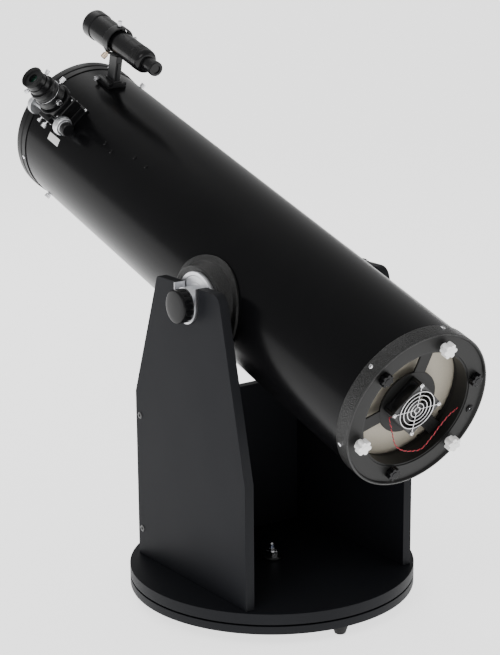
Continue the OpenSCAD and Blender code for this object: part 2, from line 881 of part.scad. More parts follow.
module fan_rotor() {
    blade_n = 7;
    hub_h = fan_depth - motor_t - 3.5;
    color("darkslategray") fan_place() translate([0, 0, 2.5]) difference() {
        union() {
            cylinder(r = 15, h = hub_h);
            for (i = [0 : blade_n - 1]) rotate([0, 0, 360 * i / blade_n]) translate([14, 0, hub_h / 2])
                rotate([38, 0, 0]) translate([0, -9, -0.8]) cube([fan_hole_r - 16.5, 18, 1.6]);
        }
        translate([0, 0, 3]) cylinder(r = 2 + fit, h = fan_depth);
    }
}

module fan_grille() {
    wire = 1.1;
    ring_pitch = (fan_hole_r - 6) / 4;
    corner = fan_screw_pitch * sqrt(1 / 2);
    color("silver") fan_place() {
        for (i = [0 : 4]) translate([0, 0, -2.6 * wire - seat]) rotate_extrude()
            translate([6 + ring_pitch * i, 0]) circle(r = wire, $fn = 8);
        for (i = [0 : 3]) rotate([0, 0, 45 + 90 * i]) translate([0, 0, -wire - seat])
            x_rod(wire, 4.5, corner - 2, $fn = 24);
        fan_screw_places() difference() {
            translate([0, 0, -2 * wire - seat]) cylinder(r = 4.6, h = 2 * wire);
            translate([0, 0, -5]) cylinder(r = fan_screw_r + seat, h = 10);
        }
        fan_screw_places() {
            translate([0, 0, -2 * wire - seat - 2.2]) cylinder(r = 3.6, h = 2);
            translate([0, 0, -2 * wire - 1]) cylinder(r = fan_screw_r, h = fan_depth + hub_t + 4);
        }
    }
}

module fan_wire() {
    color("firebrick") at_station(-tube_back)
        swept([for (p = wire_route) [p[0], -p[1], p[2]]], wire_r, 8);
}

module power_socket() {
    color("black") at_station(rear_face) spot(socket_angle, socket_ring) {
        difference() {
            union() {
                translate([0, 0, -2]) cylinder(r = 8, h = 2 - seat);
                translate([0, 0, -3]) cylinder(r = socket_r, h = 22);
            }
            translate([0, 0, -3 - eps]) cylinder(r = 2.8, h = 12);
        }
        translate([0, 0, -1.5]) cylinder(r = 1, h = 12);
    }
}

// ---- focuser: X round the tube, Y along it, Z out of it ----

module focuser_frame() {
    out_of_tube(focuser_angle, focuser_s) children();
}

module over_tube(h) {
    translate([0, 0, tube_r + h]) children();
}

// a block size[0] wide and size[2] high, from size[1] behind the axis to front
module plate(size, front, h) {
    translate([-size[0] / 2, -size[1], tube_r + h]) cube([size[0], size[1] + front, size[2]]);
}

module focuser_base() {
    color("black") focuser_frame() difference() {
        union() {
            intersection() {
                y_rod(tube_r + focuser_pad[2], -focuser_pad[1], pad_front);
                plate([focuser_pad[0], focuser_pad[1] + 2, 30], pad_front + 2, -15);
            }
            plate([focuser_block[0], focuser_block[1], focuser_block[2] + 5], body_front, -5);
        }
        y_rod(tube_r + seat, -2 * focuser_pad[1], 2 * focuser_pad[1]);
        over_tube(-10) cylinder(r = drawtube_r + 1.5, h = 40);
    }
}

module focuser_body() {
    bridge = [bridge_x, 40, 19];
    color("black") focuser_frame() difference() {
        union() {
            plate(body_size, body_front, body_z);
            over_tube(collar_z - eps) cylinder(r = collar_r, h = collar_h + eps);
            translate([bridge[0], -bridge[1] / 2, tube_r + shaft_h - bridge[2] / 2])
                cube([-bridge[0] - drawtube_r + 4, bridge[1], bridge[2]]);
        }
        over_tube(0) cylinder(r = drawtube_r + fit, h = 80);
        translate([shaft_x, 0, tube_r + shaft_h]) y_rod(shaft_r + fit, -2 * body_size[1], 2 * body_size[1]);
        for (y = [-9, 14]) translate([0, y, tube_r + tension_h])
            x_rod(clamp_screw_r + fit, bridge_x - eps, shaft_x - shaft_r);
    }
}

module drawtube() {
    tail = 3;
    color("black") focuser_frame() difference() {
        union() {
            over_tube(-tail) cylinder(r = drawtube_r, h = draw_collar_z + tail + eps);
            over_tube(draw_collar_z) cylinder(r = draw_collar_r, h = draw_collar_h);
            over_tube(draw_lip_z - eps) cylinder(r = draw_collar_r - 1.5, h = draw_lip_h + eps);
        }
        over_tube(-tail - eps) cylinder(r = drawtube_r - drawtube_wall, h = 100);
        over_tube(draw_collar_z + draw_collar_h / 2)
            x_rod(clamp_screw_r + fit, drawtube_r - 5, draw_collar_r + eps);
    }
}

module focus_shaft() {
    shaft_end = coarse_knob_y + coarse_knob_w;
    color("gainsboro") focuser_frame() translate([shaft_x, 0, tube_r + shaft_h]) difference() {
        union() {
            y_rod(shaft_r, -shaft_end, shaft_end);
            for (side = [0, 1]) mirror([0, side, 0]) {
                y_rod(coarse_knob_r, coarse_knob_y, coarse_knob_y + coarse_knob_w - 2);
                y_rod(coarse_knob_r - 2, coarse_knob_y + 1, shaft_end);
            }
        }
        y_rod(1.5 + fit, -shaft_end - eps, -shaft_end + 12);
    }
}

module fine_knob() {
    start = -(coarse_knob_y + coarse_knob_w + gap);
    color("black") focuser_frame() translate([shaft_x, 0, tube_r + shaft_h]) {
        y_rod(fine_knob_r, start - fine_knob_w + 1.5, start);
        y_rod(fine_knob_r - 1.5, start - fine_knob_w, start - 1);
        y_rod(1.5, start - 1, start + 11);
    }
}

module eyepiece_adapter() {
    color("dimgray") focuser_frame() difference() {
        union() {
            over_tube(adapter_z - 25) cylinder(r = barrel_2in_r, h = 26);
            over_tube(adapter_z) cylinder(r = adapter_grip_r, h = adapter_grip_h);
            over_tube(adapter_z + adapter_grip_h - eps)
                cylinder(r = adapter_neck_r, h = adapter_neck_h + eps);
        }
        over_tube(adapter_z - 30) cylinder(r = barrel_bore_r, h = 100);
    }
}

module eyepiece() {
    color("black") focuser_frame() difference() {
        union() {
            over_tube(eyepiece_z - 28) cylinder(r = barrel_bore_r - fit, h = 29);
            over_tube(eyepiece_z) cylinder(r = eyepiece_body_r, h = eyepiece_body_h);
            over_tube(eyepiece_z + eyepiece_body_h - eps) cylinder(r = eye_seat_r, h = 3 + eps);
        }
        over_tube(eyepiece_z - 30) cylinder(r = 13.5, h = 20);
        over_tube(eyepiece_z + eyepiece_body_h - 1) cylinder(r = 10, h = 10);
    }
}

module eyecup() {
    color("black") focuser_frame() over_tube(eyepiece_z + eyepiece_body_h) rotate_extrude() polygon([
        [eye_seat_r + seat, seat], [eyepiece_body_r, seat], [eyecup_r, eyecup_h - 1],
        [eyecup_r - 1, eyecup_h], [eyecup_r - 2.5, eyecup_h], [eye_seat_r + seat, 3.5]
    ]);
}

module thumb_screw(head_r, head_l, shank_l) {
    cylinder(r = clamp_screw_r, h = shank_l + 1);
    translate([0, 0, shank_l]) cylinder(r = head_r, h = head_l);
}

module drawtube_clamp_screw() {
    tip = barrel_2in_r + gap;
    color("silver") focuser_frame() over_tube(draw_collar_z + draw_collar_h / 2) translate([tip, 0, 0])
        rotate([0, 90, 0]) thumb_screw(6, 12, draw_collar_r + 3 - tip);
}

module focus_lock_screw() {
    tip = shaft_x - shaft_r - gap;
    color("silver") focuser_frame() translate([tip, -9, tube_r + tension_h])
        rotate([0, -90, 0]) thumb_screw(5.5, 10, tip - bridge_x + 5);
}

// ---- finder ----

module finder_frame() {
    out_of_tube(finder_angle, finder_s) children();
}

module finder_axis_frame() {
    finder_frame() translate([0, 0, tube_r + finder_h]) children();
}

module finder_tube() {
    color("black") finder_axis_frame() rotate([-90, 0, 0]) rotate_extrude() polygon([
        [finder_r - finder_wall, finder_nose], [finder_cell_r - 1, finder_nose],
        [finder_cell_r, finder_nose - 1], [finder_cell_r, finder_nose - finder_cell_l],
        [finder_r, finder_nose - finder_cell_l], [finder_r, finder_step], [finder_tail_r, finder_step],
        [finder_tail_r, 8 - finder_tail], [finder_tail_r - 3, 2 - finder_tail],
        [finder_eye_r + 3, -finder_tail], [finder_eye_r, -finder_tail],
        [finder_eye_r, 9 - finder_tail - finder_eye_l], [finder_eye_r + 1, 9 - finder_tail - finder_eye_l],
        [finder_eye_r + 1, 1 - finder_tail - finder_eye_l], [finder_eye_r, -finder_tail - finder_eye_l],
        [9, -finder_tail - finder_eye_l], [9, 3 - finder_tail],
        [finder_tail_r - 3, 10 - finder_tail], [finder_tail_r - finder_wall, finder_step - 4],
        [finder_r - finder_wall, finder_step + 3]
    ]);
}

module finder_lenses() {
    color("lightcyan") finder_axis_frame() {
        y_rod(finder_r - finder_wall - 0.6, finder_nose - 14, finder_nose - 7);
        y_rod(8.9, 4 - finder_tail - finder_eye_l, 10 - finder_tail - finder_eye_l);
    }
}

module dovetail_prism(w_bottom, w_top, h, length) {
    rotate([90, 0, 0]) translate([0, 0, -length / 2]) linear_extrude(length)
        polygon([[-w_bottom / 2, 0], [w_bottom / 2, 0], [w_top / 2, h], [-w_top / 2, h]]);
}

module finder_bracket() {
    color("black") {
        difference() {
            union() {
                finder_frame() {
                    over_tube(shoe_floor + gap) translate([0, ring_y, 0])
                        dovetail_prism(dovetail[0], dovetail[1], dovetail[2], shoe[1] - 8);
                    translate([-stalk[0] / 2, ring_y - stalk[1] / 2, tube_r + shoe_floor + 4])
                        cube([stalk[0], stalk[1], finder_h - shoe_floor - 4 - ring_in_r - 1.5]);
                }
                finder_axis_frame() y_rod(ring_out_r, ring_y - ring_w / 2, ring_y + ring_w / 2);
            }
            finder_axis_frame() {
                y_rod(ring_in_r, ring_y - stalk[1], ring_y + stalk[1]);
                translate([0, ring_y, 0]) for (a = [0, 90, 225]) rotate([0, a, 0])
                    cylinder(r = (a == 225 ? 4 : clamp_screw_r) + fit, h = ring_out_r + 1);
            }
        }
    }
}

module finder_ring_place(a) {
    finder_axis_frame() translate([0, ring_y, 0]) rotate([0, a, 0]) children();
}

module finder_top_screw() {
    color("silver") finder_ring_place(0)
        translate([0, 0, screw_tip]) thumb_screw(4.6, 9, ring_out_r + 3 - screw_tip);
}

module finder_side_screw() {
    color("silver") finder_ring_place(90)
        translate([0, 0, screw_tip]) thumb_screw(4.6, 9, ring_out_r + 3 - screw_tip);
}

module finder_plunger() {
    color("tan") finder_ring_place(225) translate([0, 0, screw_tip + 3]) {
        cylinder(r = 4, h = ring_out_r + 12 - screw_tip);
        translate([0, 0, ring_out_r + 1 - screw_tip]) cylinder(r = 6, h = 12);
    }
}

module finder_shoe() {
    color("black") finder_frame() difference() {
        plate([shoe[0], shoe[1] / 2, shoe[2] + 6], shoe[1] / 2, -6);
        y_rod(tube_r + seat, -shoe[1], shoe[1]);
        over_tube(shoe_floor) dovetail_prism(
            dovetail[0] + 2 * gap, dovetail[1] + 2 * gap, dovetail[2] + eps, shoe[1] + 2);
        translate([0, 16, tube_r + shoe_floor + 3.4]) x_rod(clamp_screw_r + fit, -shoe[0], -10);
    }
}

module shoe_clamp_screw() {
    tip = dovetail[0] / 2 + 0.4;
    color("silver") finder_frame() translate([-tip, 16, tube_r + shoe_floor + 3.4])
        rotate([0, -90, 0]) thumb_screw(5, 8, shoe[0] / 2 + 2 - tip);
}

ground_board();
feet();
azimuth_lower_race();
azimuth_roller_cage();
azimuth_upper_race();
pivot_bolt();
pivot_nut();
base_board();
left_panel();
right_panel();
front_brace();
panel_screws();
cradles();
left_bearing_hub();
right_bearing_hub();
left_slide_housing();
right_slide_housing();
left_altitude_knob();
right_altitude_knob();
tube();
front_ring();
rear_ring();
fan_spider();
ring_screws();
spider();
vane_nuts();
secondary_holder();
secondary_mirror();
primary_mirror();
mirror_cell();
collimation_springs();
collimation_knob_1();
collimation_knob_2();
collimation_knob_3();
lock_knob_1();
lock_knob_2();
lock_knob_3();
fan_frame();
fan_rotor();
fan_grille();
fan_wire();
power_socket();
focuser_base();
focuser_body();
drawtube();
focus_shaft();
fine_knob();
eyepiece_adapter();
eyepiece();
eyecup();
drawtube_clamp_screw();
focus_lock_screw();
finder_tube();
finder_lenses();
finder_bracket();
finder_top_screw();
finder_side_screw();
finder_plunger();
finder_shoe();
shoe_clamp_screw();
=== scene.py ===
"""A dobsonian telescope: a black Newtonian tube in a charcoal laminate rocker box.

Lengths inside the builders are millimetres. The tube's own frame has its origin on the
altitude axis, X to the right, Y along the tube to the sky and Z up off the tube.
"""
import math

import bmesh
import bpy
from mathutils import Matrix, Vector


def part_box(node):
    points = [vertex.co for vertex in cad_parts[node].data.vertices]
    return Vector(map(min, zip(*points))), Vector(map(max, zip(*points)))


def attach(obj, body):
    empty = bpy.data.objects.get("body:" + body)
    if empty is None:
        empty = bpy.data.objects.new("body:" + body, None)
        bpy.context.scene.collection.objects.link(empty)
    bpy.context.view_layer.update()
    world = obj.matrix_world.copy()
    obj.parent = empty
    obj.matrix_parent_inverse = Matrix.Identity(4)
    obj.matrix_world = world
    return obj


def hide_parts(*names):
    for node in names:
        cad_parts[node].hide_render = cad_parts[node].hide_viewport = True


bl_info = {
    "name": "Dobsonian telescope",
    "version": (1, 0, 0),
    "blender": (4, 5, 0),
    "location": "3D View > Sidebar > Telescope",
    "description": "Builds a dobsonian telescope around its mechanical frame",
    "category": "Add Mesh",
}

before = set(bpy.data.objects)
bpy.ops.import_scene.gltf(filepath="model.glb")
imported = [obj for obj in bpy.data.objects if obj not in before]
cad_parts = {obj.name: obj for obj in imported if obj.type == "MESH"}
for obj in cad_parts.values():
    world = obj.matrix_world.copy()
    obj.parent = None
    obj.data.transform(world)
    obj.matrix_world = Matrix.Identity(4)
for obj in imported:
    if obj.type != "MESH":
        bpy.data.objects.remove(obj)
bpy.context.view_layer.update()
MM = Matrix.Scale(0.001, 4)


def reach(node, corner, axis):
    """One face of a CAD node's box, in millimetres."""
    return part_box(node)[corner][axis] * 1000


BOARD_R = reach("base_board", 1, 0)
BOARD_TOP = reach("base_board", 1, 2)
PANEL_IN = reach("right_panel", 0, 0)
PANEL_OUT = reach("right_panel", 1, 0)
PANEL_TOP = reach("right_panel", 1, 2)
AXIS_Y = -9.5
AXIS_Z = PANEL_TOP - 37.5
TUBE_R = 152.5
TILT = 17.9
REAR_RIM = -450.0
REAR_WEB = -446.0
SKY_RIM = 758.0
BOLT_CIRCLE = 129
COLLIMATION_ANGLES = (79, 199, 319)
LOCK_ANGLES = (19, 139, 259)
FINDER_HEIGHT = 99.5


# ---- sizes and colours a user may change ----


def millimetres(name, description, default, low, high):
    return bpy.props.FloatProperty(
        name=name, description=description, default=default / 1000, min=low / 1000,
        max=high / 1000, subtype="DISTANCE", unit="LENGTH", precision=4)


def shade(name, description, default):
    return bpy.props.FloatVectorProperty(
        name=name, description=description, default=default, size=3, min=0, max=1,
        subtype="COLOR")


def amount(name, description, default, low=0.0, high=1.0):
    return bpy.props.FloatProperty(
        name=name, description=description, default=default, min=low, max=high,
        subtype="FACTOR")


def count(name, description, default, low, high):
    return bpy.props.IntProperty(
        name=name, description=description, default=default, min=low, max=high)


class TELESCOPE_PG_sizes(bpy.types.PropertyGroup):
    """Sizes of the details that the mechanical frame leaves open."""

    board_edge: millimetres("Board edge", "Rounding of the boards' edge banding", 0.8, 0.2, 3)
    panel_edge: millimetres("Panel edge", "Rounding of the panels' edges", 0.9, 0.2, 3)
    machined_edge: millimetres("Machined edge", "Rounding of turned parts", 0.5, 0.1, 1.5)
    knob_flutes: count("Knob flutes", "Flutes round an altitude knob", 14, 6, 30)
    lobes: count("Collimation lobes", "Lobes round a collimation knob", 6, 3, 9)
    fan_blades: count("Fan blades", "Blades on the fan's rotor", 7, 3, 11)
    grille_rings: count("Grille rings", "Wire rings on the fan's grille", 5, 2, 8)
    wire_twist: millimetres("Wire twist", "Length of one turn of the twisted pair", 11, 6, 30)


class TELESCOPE_PG_colours(bpy.types.PropertyGroup):
    """Colours of the finishes."""

    tube: shade("Tube", "Enamel on the tube", (0.003, 0.003, 0.0034))
    casting: shade("Castings", "Hammered enamel on the castings", (0.007, 0.007, 0.0068))
    laminate: shade("Laminate", "Faces of the boards and panels", (0.0086, 0.0091, 0.0110))
    # lighter than the laminate faces: the real banding, plus painted light on the edges
    banding_with_painted_light: shade("Edge banding", "Edges of the boards and panels", (0.0140, 0.0145, 0.0162))
    anodised: shade("Anodising", "Black anodised parts", (0.004, 0.004, 0.0045))
    plastic: shade("Black plastic", "Knobs and fan", (0.005, 0.005, 0.0055))
    white: shade("White plastic", "Collimation knobs", (0.9, 0.9, 0.88))
    alloy: shade("Bare alloy", "Bearing hubs and focus knobs", (0.72, 0.73, 0.75))
    plate: shade("Nickel plate", "Small screws", (0.80, 0.80, 0.82))
    mirror_back: shade("Mirror back", "Ground back of the primary mirror", (0.46, 0.42, 0.34))
    floor: shade("Floor", "Studio floor", (0.86, 0.86, 0.86))


class TELESCOPE_PG_studio(bpy.types.PropertyGroup):
    """Camera and light."""

    lens: bpy.props.FloatProperty(
        name="Lens", description="Focal length", default=128.76, min=20, max=300, unit="CAMERA")
    sky: amount("Surround", "Strength of the white surround", 0.62, 0.0, 3.0)
    glow: amount("Floor glow", "Light from under the translucent floor", 1.7, 0.0, 4.0)
    key: amount("Key light", "Strength of the soft key light", 0.8, 0.0, 3.0)


# ---- shader recipes ----


class Signal:
    """An output inside a material. Arithmetic on it adds Math nodes."""

    def __init__(self, recipe, socket):
        self.recipe = recipe
        self.socket = socket

    def math(self, operation, *values):
        feeds = dict(enumerate(values))
        return self.recipe.node("ShaderNodeMath", {"operation": operation}, feeds)

    def __add__(self, other):
        return self.math("ADD", self, other)

    def __sub__(self, other):
        return self.math("SUBTRACT", self, other)

    def __rsub__(self, other):
        return self.math("SUBTRACT", other, self)

    def __mul__(self, other):
        return self.math("MULTIPLY", self, other)

    def __gt__(self, other):
        return self.math("GREATER_THAN", self, other)

    __radd__ = __add__
    __rmul__ = __mul__


class Recipe:
    """Builds the nodes of one material."""

    def __init__(self, name):
        self.material = bpy.data.materials.new(name)
        self.material.use_nodes = True
        self.tree = self.material.node_tree
        self.tree.nodes.clear()

    def node(self, kind, settings=None, feeds=None, out=0):
        made = self.tree.nodes.new(kind)
        for key, value in (settings or {}).items():
            if key == "stops":
                steps = made.color_ramp.elements
                for step, (place, level) in zip(steps, value):
                    step.position = place
                    step.color = (level, level, level, 1)
            else:
                setattr(made, key, value)
        for key, value in (feeds or {}).items():
            if isinstance(value, Signal):
                self.tree.links.new(value.socket, made.inputs[key])
            else:
                made.inputs[key].default_value = value
        return Signal(self, made.outputs[out])

    def place(self, stretch=(1, 1, 1), turn=(0, 0, 0)):
        where = self.node("ShaderNodeTexCoord", out="Object")
        if stretch == (1, 1, 1) and turn == (0, 0, 0):
            return where
        turned = [math.radians(a) for a in turn]
        return self.node("ShaderNodeMapping", None,
                         {"Vector": where, "Rotation": turned, "Scale": stretch})

    def facing(self, axis):
        """How squarely the surface faces along one axis, from 0 to 1."""
        normal = self.node("ShaderNodeTexCoord", out="Normal")
        parts = self.node("ShaderNodeSeparateXYZ", None, {0: normal}, out=axis)
        return parts.math("ABSOLUTE", parts)

    def noise(self, where, scale, detail=2.0, roughness=0.5):
        return self.node("ShaderNodeTexNoise", None, {
            "Vector": where, "Scale": scale, "Detail": detail, "Roughness": roughness})

    def cells(self, where, scale):
        return self.node("ShaderNodeTexVoronoi", {"feature": "SMOOTH_F1"},
                         {"Vector": where, "Scale": scale, "Smoothness": 0.6})

    def curve(self, signal, low, high, dark=0.0, light=1.0):
        ramp = {"stops": [(low, dark), (high, light)]}
        return self.node("ShaderNodeValToRGB", ramp, {0: signal})

    def blend(self, factor, a, b):
        rgba = [v if isinstance(v, Signal) else (*v, 1) for v in (a, b)]
        return self.node("ShaderNodeMix", {"data_type": "RGBA"},
                         {0: factor, 6: rgba[0], 7: rgba[1]}, out=2)

    def bump(self, height, strength, distance):
        return self.node("ShaderNodeBump", None, {
            "Height": height, "Strength": strength, "Distance": distance})

    def surface(self, **feeds):
        named = {key.replace("_", " "): value for key, value in feeds.items()}
        for key in ("Base Color",):
            if not isinstance(named[key], Signal):
                named[key] = (*named[key], 1)
        shader = self.node("ShaderNodeBsdfPrincipled", None, named)
        self.node_output(shader)
        return self.material

    def node_output(self, shader):
        made = self.tree.nodes.new("ShaderNodeOutputMaterial")
        self.tree.links.new(shader.socket, made.inputs["Surface"])


def scaled(colour, factor):
    return tuple(min(1.0, c * factor) for c in colour)


def painted(name, colour, roughness, peel=0.12, shine=0.25, grain=700, spread=0.08):
    """Smooth paint with a faint orange peel, slow tone changes and dusty patches."""
    r = Recipe(name)
    here = r.place()
    cloud = r.noise(here, 5, 3)
    dust = r.noise(here, 60, 4, 0.6)
    fine = r.noise(here, grain, 2)
    return r.surface(
        Base_Color=r.blend(cloud, scaled(colour, 0.8), scaled(colour, 1.35)),
        Roughness=dust * spread + cloud * spread + (roughness - spread),
        Specular_IOR_Level=shine,
        Normal=r.bump(fine, peel, 0.0003))


def hammered(name, colour):
    """Enamel that dried in small round dimples."""
    r = Recipe(name)
    here = r.place()
    wobble = r.noise(here, 90, 2)
    dimples = r.cells(here, 520)
    fine = r.noise(here, 1100, 2)
    height = r.curve(dimples, 0.05, 0.75) + wobble * 0.1 + fine * 0.06
    return r.surface(
        Base_Color=r.blend(r.curve(dimples, 0.1, 0.7), scaled(colour, 1.8), scaled(colour, 0.7)),
        Roughness=wobble * 0.12 + 0.24,
        Specular_IOR_Level=0.33,
        Normal=r.bump(height, 0.85, 0.001))


def laminated(name, face, edge, flat_axis):
    """Melamine board: pebbled faces, with smoother banding where the edge shows. The banding is a real strip,
    and its colour is set lighter than the faces as painted light on the edges.
    """
    r = Recipe(name)
    here = r.place()
    squarely = r.facing(flat_axis)
    # the edges take the banding colour, which is the real banding with painted light on top
    banding_with_painted_light = squarely.math("LESS_THAN", squarely, 0.7)
    fleck = r.curve(r.noise(here, 1500, 2, 0.7), 0.35, 0.75)
    cloud = r.noise(here, 7, 3)
    pebble = r.noise(here, 620, 3, 0.6)
    flat = r.blend(fleck, scaled(face, 0.75), scaled(face, 1.5))
    band_with_painted_light = r.blend(cloud, scaled(edge, 0.85), scaled(edge, 1.15))
    return r.surface(
        Base_Color=r.blend(banding_with_painted_light, flat, band_with_painted_light),
        Roughness=cloud * 0.1 + fleck * 0.05 + 0.4,
        Specular_IOR_Level=0.06,
        Normal=r.bump(pebble, 0.22, 0.0005))


def turned_metal(name, colour, roughness, stretch=(1, 1, 1), mark=0.1):
    """Machined metal with fine tool marks and a little tarnish."""
    r = Recipe(name)
    here = r.place()
    lines = r.noise(r.place(stretch), 420, 3, 0.6)
    smudge = r.noise(here, 45, 4, 0.6)
    return r.surface(
        Base_Color=r.blend(smudge, scaled(colour, 0.82), scaled(colour, 1.08)),
        Metallic=1.0,
        Roughness=lines * 0.12 + smudge * 0.1 + (roughness - 0.1),
        Normal=r.bump(lines, mark, 0.0002))


def moulded(name, colour, roughness, grain=0.2, shine=0.4):
    """Moulded plastic with a fine spark-eroded grain."""
    r = Recipe(name)
    here = r.place()
    fine = r.noise(here, 1300, 2, 0.6)
    cloud = r.noise(here, 22, 3)
    return r.surface(
        Base_Color=r.blend(cloud, scaled(colour, 0.85), scaled(colour, 1.15)),
        Roughness=fine * 0.12 + cloud * 0.08 + (roughness - 0.1),
        Specular_IOR_Level=shine,
        Normal=r.bump(fine, grain, 0.0003))


def coated_glass(name, colour):
    r = Recipe(name)
    rim = r.noise(r.place(), 30, 2)
    return r.surface(
        Base_Color=r.blend(rim, scaled(colour, 0.6), scaled(colour, 1.3)),
        Roughness=0.04, Coat_Weight=1.0, Coat_Roughness=0.02, IOR=1.6)


def silvered(name, back):
    """Aluminised on the face that looks up the tube, ground glass elsewhere."""
    r = Recipe(name)
    here = r.place()
    tilt = math.radians(TILT)
    normal = r.node("ShaderNodeTexCoord", out="Normal")
    up_tube = r.node("ShaderNodeVectorMath", {"operation": "DOT_PRODUCT"},
                     {0: normal, 1: (0, math.cos(tilt), math.sin(tilt))}, out="Value")
    silver = up_tube > 0.6
    mist = r.noise(here, 400, 3)
    ground = r.blend(mist, scaled(back, 0.9), scaled(back, 1.1))
    return r.surface(
        Base_Color=r.blend(silver, ground, (0.9, 0.9, 0.92)),
        Metallic=silver,
        Roughness=0.55 - silver * 0.52,
        Normal=r.bump(mist * (1 - silver), 0.1, 0.0002))


FINISHES = {
    "tube enamel": lambda n, c: painted(n, c.tube, 0.24, 0.04, 0.09),
    "tube lining": lambda n, c: painted(n, scaled(c.tube, 0.8), 0.8, 0.2),
    "ring enamel": lambda n, c: painted(n, c.tube, 0.35, 0.1, 0.2),
    "satin casting": lambda n, c: painted(n, c.casting, 0.45, 0.12, 0.2),
    "finder enamel": lambda n, c: painted(n, c.tube, 0.24, 0.06, 0.25),
    "flat black": lambda n, c: painted(n, c.anodised, 0.6, 0.2),
    "screw black": lambda n, c: painted(n, c.anodised, 0.3, 0.1, 0.6),
    "hammered enamel": lambda n, c: hammered(n, c.casting),
    "laminate board": lambda n, c: laminated(n, c.laminate, c.banding_with_painted_light, 2),
    "laminate panel": lambda n, c: laminated(n, c.laminate, c.banding_with_painted_light, 0),
    "laminate brace": lambda n, c: laminated(n, c.laminate, c.banding_with_painted_light, 1),
    "anodised black": lambda n, c: painted(n, c.anodised, 0.3, 0.12, 0.3, 1200),
    "bare alloy": lambda n, c: turned_metal(n, c.alloy, 0.34, (1, 1, 1), 0.12),
    "nickel plate": lambda n, c: turned_metal(n, c.plate, 0.2, (1, 1, 1), 0.04),
    "blued steel": lambda n, c: turned_metal(n, (0.42, 0.46, 0.58), 0.3, (1, 1, 6), 0.1),
    "strip steel": lambda n, c: turned_metal(n, (0.62, 0.62, 0.64), 0.3, (8, 1, 1), 0.12),
    "race steel": lambda n, c: turned_metal(n, (0.55, 0.55, 0.56), 0.3),
    "tan sleeve": lambda n, c: turned_metal(n, (0.62, 0.5, 0.38), 0.35),
    "black plastic": lambda n, c: moulded(n, c.plastic, 0.4, 0.2, 0.45),
    "gloss plastic": lambda n, c: moulded(n, c.plastic, 0.16, 0.03, 0.14),
    "white plastic": lambda n, c: moulded(n, c.white, 0.42, 0.1),
    "nylon": lambda n, c: moulded(n, (0.6, 0.58, 0.52), 0.5),
    "rubber": lambda n, c: moulded(n, (0.008, 0.008, 0.008), 0.7, 0.3, 0.3),
    "label stock": lambda n, c: moulded(n, (0.75, 0.75, 0.74), 0.4, 0.05),
    "red sheath": lambda n, c: moulded(n, (0.62, 0.02, 0.045), 0.4, 0.05),
    "black sheath": lambda n, c: moulded(n, (0.012, 0.012, 0.012), 0.42, 0.05),
    "green lens": lambda n, c: coated_glass(n, (0.004, 0.03, 0.018)),
    "clear lens": lambda n, c: coated_glass(n, (0.006, 0.014, 0.016)),
    "mirror": lambda n, c: silvered(n, c.mirror_back),
}
_made = {}


def finish(name):
    """A finish by name, made the first time that it is asked for."""
    if name not in _made:
        _made[name] = FINISHES[name](name.replace(" ", "_"), bpy.context.scene.scope_colours)
    return _made[name]


# ---- shells, in millimetres ----


def turned(outline, steps=96, closed=False, sweep=360.0, rise=0.0):
    """Spins an outline of (radius, height) points round Z."""
    bm = bmesh.new()
    verts = [bm.verts.new((r, 0, z)) for r, z in outline]
    edges = [bm.edges.new(pair) for pair in zip(verts, verts[1:])]
    if closed:
        edges.append(bm.edges.new((verts[-1], verts[0])))
    whole = sweep == 360.0 and rise == 0.0
    bmesh.ops.spin(
        bm, geom=verts + edges, cent=(0, 0, 0), axis=(0, 0, 1), dvec=(0, 0, rise / steps),
        angle=math.radians(sweep), steps=steps, use_merge=whole, use_duplicate=False)
    bmesh.ops.remove_doubles(bm, verts=bm.verts, dist=1e-3)
    return bm


def prism(outline, height):
    """A flat outline pushed up along Z."""
    bm = bmesh.new()
    face = bm.faces.new([bm.verts.new((x, y, 0)) for x, y in outline])
    made = bmesh.ops.extrude_face_region(bm, geom=[face])["geom"]
    top = [v for v in made if isinstance(v, bmesh.types.BMVert)]
    bmesh.ops.translate(bm, vec=(0, 0, height), verts=top)
    return bm


def block(low, high, cuts=0):
    bm = bmesh.new()
    bmesh.ops.create_cube(bm, size=1)
    low, high = Vector(low), Vector(high)
    bmesh.ops.scale(bm, vec=high - low, verts=bm.verts)
    bmesh.ops.translate(bm, vec=(low + high) / 2, verts=bm.verts)
    if cuts:
        bmesh.ops.subdivide_edges(bm, edges=bm.edges, cuts=cuts, use_grid_fill=True)
    return bm


def rod(radius, low, high, steps=48):
    return turned([(0, low), (radius, low), (radius, high), (0, high)], steps)


def hoop(radius, wire, z=0.0, steps=72, sides=10):
    outline = [(radius + wire * math.cos(a), z + wire * math.sin(a))
               for a in (2 * math.pi * k / sides for k in range(sides))]
    return turned(outline, steps, closed=True)


def holed_plate(outline, hole_r, height):
    """A plate along Z with a round hole; its outline goes once round, from +X."""
    bm = bmesh.new()
    total = len(outline)
    hole = [(hole_r * math.cos(2 * math.pi * k / total), hole_r * math.sin(2 * math.pi * k / total))
            for k in range(total)]
    for loop in (outline, hole):
        verts = [bm.verts.new((x, y, 0)) for x, y in loop]
        for pair in zip(verts, verts[1:] + verts[:1]):
            bm.edges.new(pair)
    faces = bmesh.ops.bridge_loops(bm, edges=bm.edges)["faces"]
    made = bmesh.ops.extrude_face_region(bm, geom=faces)["geom"]
    top = [v for v in made if isinstance(v, bmesh.types.BMVert)]
    bmesh.ops.translate(bm, vec=(0, 0, height), verts=top)
    return bm


def arc(centre, radius, start, stop, steps):
    angles = (math.radians(start + (stop - start) * k / steps) for k in range(steps + 1))
    return [(centre[0] + radius * math.cos(a), centre[1] + radius * math.sin(a)) for a in angles]


def lobed(radius, depth, lobes, per_lobe=12, power=1.0):
    """A round outline with scallops cut in it."""
    total = lobes * per_lobe
    out = []
    for k in range(total):
        a = 2 * math.pi * k / total
        dip = abs(math.sin(lobes * a / 2)) ** power
        r = radius - depth * (1 - dip)
        out.append((r * math.cos(a), r * math.sin(a)))
    return out


